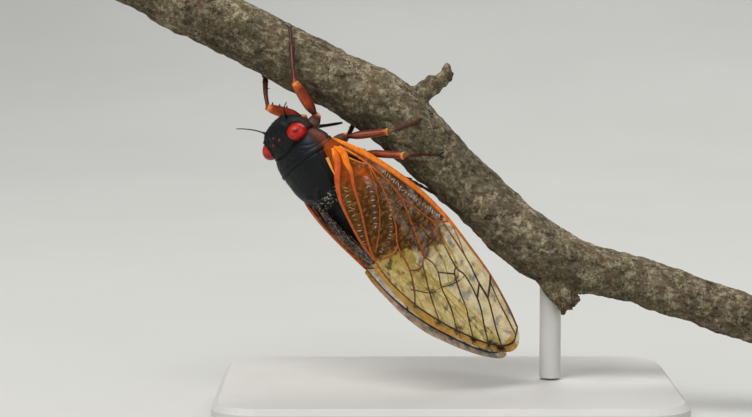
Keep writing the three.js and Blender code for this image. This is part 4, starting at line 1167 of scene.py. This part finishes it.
def add_coxa(soup, root, hip):
    dark, pale = np.array(SIDE_RED), np.array(PALE_COXA)
    colours = [dark * 0.3, dark * 0.8, pale * 0.45, dark, pale * 0.8]
    add_tube(soup, [root, hip], COXA_RADIUS * COXA_PROFILE, 28, 24, colours)


def add_thigh(soup, thick, spines, hip, knee, ankle):
    """A ring at the hip, then a flattened thigh with a streak on each side, pale at the knee."""
    way, bend = unit(knee - hip), unit(ankle - knee)
    add_tube(soup, [hip - way * 0.3, hip + way * 0.5], HIP_RING_RADII, 24, 12,
             [PALE_COXA, PALE_RING, PALE_RING, SHIN])
    radii = [*THIGH_PROFILE[:-1] * thick, THIGH_END]
    # Painted shade: the middle and hind thighs lie under the body and are painted darker
    shade_share = 1.0 if spines else SHADED_THIGH_SHARE
    red = np.array(THIGH) * shade_share
    colours = [CLAW, SHIN, red, red, red, red, DEEP_ORANGE, PALE_RING]
    streak = np.array(THIGH_STRIPE) * shade_share
    add_tube(soup, [hip + way * 0.35, knee], radii, 32, 40, colours,
             THIGH_FLATNESS, np.cross(way, bend), streak)
    add_tube(soup, [knee - way * 0.3, knee + way * 0.12], KNEE_RADII, 24, 8, [PALE_RING, PALE_RING, SHIN])
    for number in range(spines):
        start = hip + (knee - hip) * (0.45 + 0.2 * number)
        tip = start + bend * (thick + 0.75 - 0.12 * number)
        middle = (start + tip) / 2 + way * 0.05
        add_tube(soup, [start, middle, tip], THIGH_SPINE_RADII, 12, 10, [THIGH, SHIN, CLAW])


def add_shin(soup, thick, upper, hip, knee, ankle):
    """A slightly bowed shin with a spiral of small spines towards the foot."""
    way = unit(ankle - knee)
    side = unit(np.cross(way, knee - hip))
    front = np.cross(side, way)
    path = [knee - way * 0.2, knee + way * 0.6, (knee + ankle) / 2 + front * SHIN_BOW, ankle]
    colours = [DEEP_ORANGE, upper, SHIN, SHIN, np.array(SHIN) * 0.7]
    add_tube(soup, path, thick * SHIN_PROFILE, 24, 40, colours)
    for number in range(SHIN_SPINES):
        turn = number * SHIN_SPINE_TURN
        out = side * math.cos(turn) + front * math.sin(turn)
        start = knee + (ankle - knee) * (0.55 + 0.055 * number)
        tip = start + out * (thick + 0.22) + way * 0.28
        add_tube(soup, [start, tip], SHIN_SPINE_RADII, 8, 6, [SHIN, CLAW])


def add_foot(soup, ankle, claw):
    """Three foot joints that thicken to the far end of each, and a pair of hooked claws."""
    way = unit(claw - ankle)
    inward = unit(nearest_on_branch(claw) - claw)
    across = unit(np.cross(way, inward))
    for start, end in zip(FOOT_CUTS[:-1], FOOT_CUTS[1:]):
        ends = [ankle + (claw - ankle) * (start - 0.02), ankle + (claw - ankle) * end]
        add_tube(soup, ends, FOOT_RADIUS * FOOT_PROFILE, 18, 12, [SHIN, np.array(SHIN) * 0.6, CLAW])
    for side in (-1, 1):
        bend = claw + way * 0.45 + across * side * 0.35
        tip = bend + way * 0.3 + inward * 0.45 + across * side * 0.1
        add_tube(soup, [claw - way * 0.15, bend, tip], CLAW_RADII, 12, 14, CLAW)


# Wings

def wing_middle(u, w, inset, midline, tuck):
    """The middle surface of the right wing, in body places; it bends back before the body's middle."""
    along, across = unit(WING_ALONG), unit(WING_ACROSS)
    outward = unit(np.cross(along, across))
    bulge = WING_BULGE * dent(u - BULGE_AT, BULGE_LENGTH) * dent(w, BULGE_WIDTH)
    at = WING_ROOT + u[..., None] * along + w[..., None] * across + (bulge - inset)[..., None] * outward
    at = at - tuck * dent(u, TUCK_LENGTH)[..., None] * TUCK_WAY
    turn = 2 * midline
    right = at[..., 1]
    bent = midline + midline * np.exp((np.minimum(right, turn) - turn) / midline)
    at[..., 1] = np.where(right < turn, bent, right)
    return at


def wing_surface(u, w, rise, side, inset, midline):
    """Wing places in the part's own frame, raised off the middle surface by rise."""
    u, w = np.asarray(u, float), np.asarray(w, float)
    rest = (inset, midline, LEFT_TUCK if side < 0 else 0.0)
    at = wing_middle(u, w, *rest)
    down = wing_middle(u + 0.01, w, *rest) - at
    over = wing_middle(u, w + 0.01, *rest) - at
    normal = unit(np.cross(down, over))
    return on_body((at + normal * np.asarray(rise, float)[..., None]) * (1, side, 1))


def flat_path(path, joints, spacing):
    """Points along a vein on the flat wing, through its joints and places."""
    controls = np.array([joints[entry] if isinstance(entry, str) else entry for entry in path], float)
    length = np.linalg.norm(np.diff(controls, axis=0), axis=1).sum()
    steps = max(4, int(length / spacing))
    return between(controls, np.linspace(0, 1, steps + 1))


def vein_colour(u, w, dark):
    """Orange near the root, then red-brown, then nearly black towards the tip."""
    near = mix(ORANGE, INNER_RED, smooth(0.2, 1.3, w) * (1 - smooth(6.0, 9.0, u)))
    colour = mix(near, VEIN_RED, smooth(1.5, 8.0, u))
    colour = mix(colour, VEIN_DARK, smooth(15.0, 27.0, u + 0.35 * w))
    return mix(colour, VEIN_DARK, dark * smooth(10.0, 20.0, u))


def edge_colour(u):
    """The fore edge stays bright orange to the bend, then turns brown."""
    colour = np.broadcast_to(ORANGE, (len(u), 3))
    for tint, start, end in EDGE_COLOURS:
        colour = mix(colour, tint, smooth(start, end, u))
    return colour


def vein_half(u, half):
    """Broad veins swell near the root and taper into it."""
    if half < BROAD_VEIN:
        return half + 0 * u
    swell = ROOT_SWELL * dent(np.maximum(u - 1.2, 0.0), ROOT_SWELL_LENGTH)
    return half * (1 + swell) * (0.35 + 0.65 * smooth(-0.1, 1.3, u))


def add_vein(soup, flat, place, width, height, colour):
    """A raised vein over flat points, with an oval section."""
    u, w = flat.T
    centre = place(u, w, np.zeros(len(u)))
    over = unit(place(u, w, np.ones(len(u))) - centre)
    along = unit(np.gradient(centre, axis=0))
    across = unit(np.cross(along, over))
    turn = np.linspace(0, 2 * math.pi, VEIN_SIDES, endpoint=False)[None, :, None]
    reach_across, reach_over = (reach[:, None, None] for reach in (width, height))
    rings = centre[:, None] + np.cos(turn) * across[:, None] * reach_across
    rings = rings + np.sin(turn) * over[:, None] * reach_over
    paint = np.concatenate([np.repeat(colour, VEIN_SIDES, axis=0), colour[[0, -1]]])
    soup.add(capped(rings), skin_faces(len(rings), VEIN_SIDES), paint)


def add_veins(soup, veins, joints, place, has_strap):
    """All veins of a wing; the first is the fore edge, which is a broad strap on the forewing."""
    for number, (path, half, dark) in enumerate(veins):
        flat = flat_path(path, joints, VEIN_SPACING)
        u, w = flat.T
        if has_strap and number == 0:
            width = np.interp(u, COSTA_AT, COSTA_HALF)
            add_vein(soup, flat, place, width, width * COSTA_HEIGHT, edge_colour(u))
        else:
            width = vein_half(u, half)
            add_vein(soup, flat, place, width, width * VEIN_HEIGHT, vein_colour(u, w, dark))


def crinkle(u, w):
    """Fine cross wrinkles of the membrane near the root, fading towards the tip."""
    near = (1 - smooth(13, 24, u)) * smooth(0.5, 3.0, u)
    fold = np.sin(u * 7.5 + 1.2 * np.sin(w * 1.7)) * np.cos(w * 2.3 + 0.8)
    slow = np.sin(u * 0.9 + w * 0.6) * np.sin(w * 1.3 - u * 0.25)
    return WRINKLE_HEIGHT * near * fold + WAVE_HEIGHT * slow


def depth(u, w, corners):
    """How far places lie inside a flat outline; below 0 outside it."""
    corners = np.asarray(corners, float)
    gap = np.full(len(u), np.inf)
    inside = np.zeros(len(u), bool)
    for a, b in zip(corners, np.roll(corners, -1, axis=0)):
        gap = np.minimum(gap, line_distance(u, w, a, b + 1e-9))
        crosses = (a[1] > w) != (b[1] > w)
        at = a[0] + (w - a[1]) / (b[1] - a[1] + 1e-12) * (b[0] - a[0])
        inside ^= crosses & (u < at)
    return np.where(inside, gap, -gap)


def row_distance(u, w, path):
    """Distance from places to a path of straight pieces."""
    return np.min([line_distance(u, w, a, b) for a, b in zip(path[:-1], path[1:])], axis=0)


def plain_film(kind, count):
    colour, cover = kind
    return np.tile([*colour, cover], (count, 1))


def blot(paint, kind, amount):
    """Film paint turned towards another kind of film."""
    return mix(paint, plain_film(kind, 1), np.clip(amount, 0, 1))


def stained(paint, flat, stains):
    for colour, cover, strength, fades, stretch, size, seed, octaves in stains:
        amount = strength * smooth(*fades, waves(flat * stretch, size, seed, octaves))
        paint = blot(paint, (colour, cover), amount)
    return paint


def forewing_film(u, w):
    """Painted shade near the root, where the shaded black abdomen shows through, and clear straw beyond:
    colour and cover at flat places.
    """
    flat = np.stack([u, w, 0 * u], axis=-1)
    uneven = waves(flat, *UNEVEN_NOISE)
    edge = np.interp(w, BODY_SHADE_ACROSS, BODY_SHADE_ALONG) + UNEVEN_EDGE * uneven
    clear = stained(plain_film(CLEAR_FILM, len(u)), flat, CLEAR_STAINS)
    # Painted shade: the dark film stands in for the shaded black abdomen seen through the wing; the orange
    # root wash on it is the wing's own colour
    body_shade_and_wash = stained(plain_film(BODY_SHADE_FILM, len(u)), flat, BODY_SHADE_MOTTLE)
    body_shade_and_wash = blot(body_shade_and_wash, ROOT_WASH, 0.7 * (1 - smooth(2.0, 10.0, u)) * (0.9 + uneven))
    paint = mix(clear, body_shade_and_wash, 1 - smooth(-0.7, 0.7, u - edge))
    # Painted highlight: the film beside each row of folds turns towards a dimmed copy of the folds' pale
    # colour
    for path, _, length, _, kind in FOLD_ROWS:
        beside = dent(row_distance(u, w, path), length * 0.55)
        paint = blot(paint, (np.array(FOLD_HIGHLIGHTS[kind]) * FOLD_HIGHLIGHT_DIMMING, 0.7), 0.6 * beside)
    paint = blot(paint, PATCH_FILM, smooth(-0.3, 0.5, depth(u, w, ORANGE_PATCH)) * (0.8 + uneven))
    paint = blot(paint, WEDGE_FILM, smooth(-0.25, 0.1, depth(u, w, DARK_WEDGE)))
    paint = blot(paint, HINGE_FILM, 1 - smooth(0.2, 1.4, np.hypot(u, w)))
    return blot_rim(paint, u, w, flat)


def blot_rim(paint, u, w, flat):
    """Tan rim outside the outer vein, darkened where the long veins end."""
    vein = flat_path(FORE_VEINS[1][0], FORE_JOINTS, 0.3)
    order = np.argsort(vein[:, 0])
    edge = np.interp(u, vein[order, 0], vein[order, 1])
    paint = blot(paint, RIM_FILM, smooth(-0.1, 0.15, w - edge) * (u > RIM_FROM))
    ends = np.array([FORE_JOINTS[name] for name in SPOTTED_ENDS]) + SPOT_SHIFT
    near = np.min([np.hypot(u - at[0], w - at[1]) for at in ends], axis=0)
    spots = dent(near, 0.5) + 0.6 * dent(near, 1.3) * smooth(-0.1, 0.3, waves(flat, *SPOT_NOISE))
    tip = 0.8 * dent(np.hypot((u - TIP_SPOT[0]) * 0.45, w - TIP_SPOT[1]), 0.7)
    return blot(paint, SPOT_FILM, (spots + tip) * smooth(20, 30, u + 0.4 * w))


def hindwing_film(u, w):
    """Clear film with orange at the root."""
    flat = np.stack([u, w, 0 * u], axis=-1)
    paint = stained(plain_film(HIND_FILM, len(u)), flat, HIND_STAINS)
    return blot(paint, HIND_ROOT_FILM, 1 - smooth(1.0, 5.0, u))


def membrane_net(outline, spacing):
    """Flat triangles over an outline: its own points and an even grid inside."""
    low, high = outline.min(axis=0), outline.max(axis=0)
    columns = np.arange(low[0], high[0], spacing)
    rows = np.arange(low[1], high[1], spacing * 0.87)
    grid = np.array([(c + (0.5 * spacing if k % 2 else 0.0), r) for k, r in enumerate(rows) for c in columns])
    grid = grid[depth(grid[:, 0], grid[:, 1], outline) > spacing * 0.45]
    flat = [Vector(p) for p in np.concatenate([outline, grid])]
    count = len(outline)
    edges = [(k, (k + 1) % count) for k in range(count)]
    points, _, faces, _, _, _ = geometry.delaunay_2d_cdt(flat, edges, [], 1, 1e-6)
    return np.array([tuple(p) for p in points]), [tuple(face) for face in faces]


def make_membrane(name, outline, place, spacing, film_at, cover):
    """A thin closed sheet over a flat outline, painted with its film."""
    flat, faces = membrane_net(outline, spacing)
    u, w = flat.T
    ripple = crinkle(u, w)
    count = len(flat)
    points = np.concatenate([place(u, w, ripple + MEMBRANE / 2), place(u, w, ripple - MEMBRANE / 2)])
    lower = [tuple(i + count for i in reversed(face)) for face in faces]
    walls = [(b, a, a + count, b + count) for a, b in open_edges(faces)]
    paint = film_at(u, w)
    paint[:, 3] *= 1 - (1 - cover) * smooth(*CLEAR_FROM, u)
    soup = Soup()
    soup.add(points, faces + lower + walls, np.tile(paint, (2, 1)))
    return soup.make(name)


def open_edges(faces):
    edges = dict.fromkeys((a, b) for face in faces for a, b in zip(face, face[1:] + face[:1]))
    return [edge for edge in edges if (edge[1], edge[0]) not in edges]


def turn_outward(mesh):
    work = bmesh.new()
    work.from_mesh(mesh)
    bmesh.ops.recalc_face_normals(work, faces=work.faces)
    work.to_mesh(mesh)
    work.free()
    mesh.update()


def add_folds(soup, place):
    """Short folds across the film, in rows between the veins, painted pale as the highlights their crests
    catch.
    """
    chance = np.random.default_rng(5)
    for path, spacing, length, half, kind in FOLD_ROWS:
        row = flat_path(path, {}, spacing)
        for at in row:
            near = np.argsort(np.hypot(*(row - at).T))[:2]
            way = unit(row[near[1]] - row[near[0]])
            cross = np.array([-way[1], way[0]]) + 0.25 * chance.standard_normal(2)
            reach = unit(cross) * length * chance.uniform(0.32, 0.6)
            middle = at + 0.12 * spacing * chance.standard_normal(2)
            ends = np.linspace(middle - reach, middle + reach, len(FOLD_PROFILE))
            ends = ends + 0.04 * chance.standard_normal(ends.shape)
            size = half * FOLD_PROFILE * chance.uniform(0.7, 1.3)
            # Painted highlight: the fold is painted pale
            colour = np.array(FOLD_HIGHLIGHTS[kind]) * chance.uniform(0.5, 1.1)
            add_tube(soup, place(*ends.T, crinkle(*ends.T) + MEMBRANE), size, 6, 8, colour)


def add_wings():
    clear, hard = membrane_material(), vein_material()
    wings = {
        "forewing": (FORE_MARGIN, FORE_JOINTS, FORE_VEINS, 0.0, FORE_MIDLINE, forewing_film, 0.15),
        "hindwing": (HIND_MARGIN, HIND_JOINTS, HIND_VEINS, HINDWING_INSET, HIND_MIDLINE, hindwing_film, 0.3),
    }
    for kind, (margin, joints, veins, inset, midline, film_at, spacing) in wings.items():
        outline = flat_path(margin, joints, spacing)[:-1]
        for name, side, cover in (("left", -1, LEFT_COVER), ("right", 1, 1.0)):
            place = partial(wing_surface, side=side, inset=inset, midline=midline)
            sheet = make_membrane(kind + "_membrane_" + name, outline, place, spacing, film_at, cover)
            turn_outward(sheet.data)
            finish_piece(sheet, clear, "wing", kind + "_" + name)
            soup = Soup()
            add_veins(soup, veins, joints, place, kind == "forewing")
            if kind == "forewing":
                add_folds(soup, place)
                bar = between(PALE_BAR, np.linspace(0, 1, 8))
                rise = np.full(len(bar), PALE_BAR_RISE)
                add_tube(soup, place(*bar.T, rise), PALE_BAR_RADII, 12, 16, PALE_RING)
            net = soup.make(kind + "_veins_" + name)
            turn_outward(net.data)
            finish_piece(net, hard, "wing")


# Branch and stand

def branch_points():
    return np.array([seen((right, up, BRANCH_AWAY)) for right, up, _ in BRANCH_LINE])


def nearest_on_branch(point):
    places = between(branch_points(), np.linspace(0, 1, 400))
    return places[np.argmin(np.linalg.norm(places - point, axis=1))]


def wave_rise(points, wave):
    height, size, seed, octaves = wave
    return height * waves(points, size, seed, octaves)


def add_branch():
    """One skin over branch, twig and knob, then bark relief along it."""
    soup = Soup()
    path = branch_points()
    add_tube(soup, path, [radius for _, _, radius in BRANCH_LINE], 64, 260, WHITE)
    for start, end, thick, thin in STUBS:
        add_tube(soup, [seen(start), seen(end)], [thick, (thick + thin) / 2, thin], 32, 16, WHITE)
    bark = remeshed(soup.make("bark_skin", 1.0), BARK_VOXEL)
    mesh = bark.data
    for _ in range(BARK_SOFTENING):
        relax(mesh)
    points, normals = get_points(mesh), get_normals(mesh)
    way = unit(path[-1] - path[0])
    stretched = points - (points @ way)[:, None] * way * CRACK_LENGTHENING
    rise = wave_rise(points, BROAD_WAVE) + wave_rise(stretched, CRACK_WAVE) - BARK_SINK
    for _, end, _, _ in STUBS:
        rise += wave_rise(points, STUB_WAVE) * dent(np.linalg.norm(points - seen(end), axis=1), STUB_REACH)
    # Painted light: the bark's colour is lightened where it faces up and to the left, towards the key lamp
    painted_light = normals @ unit(seen_direction(PAINTED_LIGHT_FROM))
    shade = BARK_BRIGHTNESS + wave_rise(points, CLOUD_WAVE) + PAINTED_LIGHT_SHARE * painted_light
    set_paint(mesh, np.clip(shade, 0.45, 1.8)[:, None] * np.array(BARK_TINT))
    set_points(mesh, (points + normals * rise[:, None]) * MM)
    finish_piece(bark, bark_material(), "bark", "perch")


def dress_stand():
    material = stand_material()
    for name in ("stand_base", "stand_rod"):
        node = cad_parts[name]
        node.data.materials.clear()
        node.data.materials.append(material)


add_camera()
add_floor()
add_light()
add_body()
add_eyes()
add_feelers()
add_beak()
add_legs()
add_wings()
add_branch()
dress_stand()
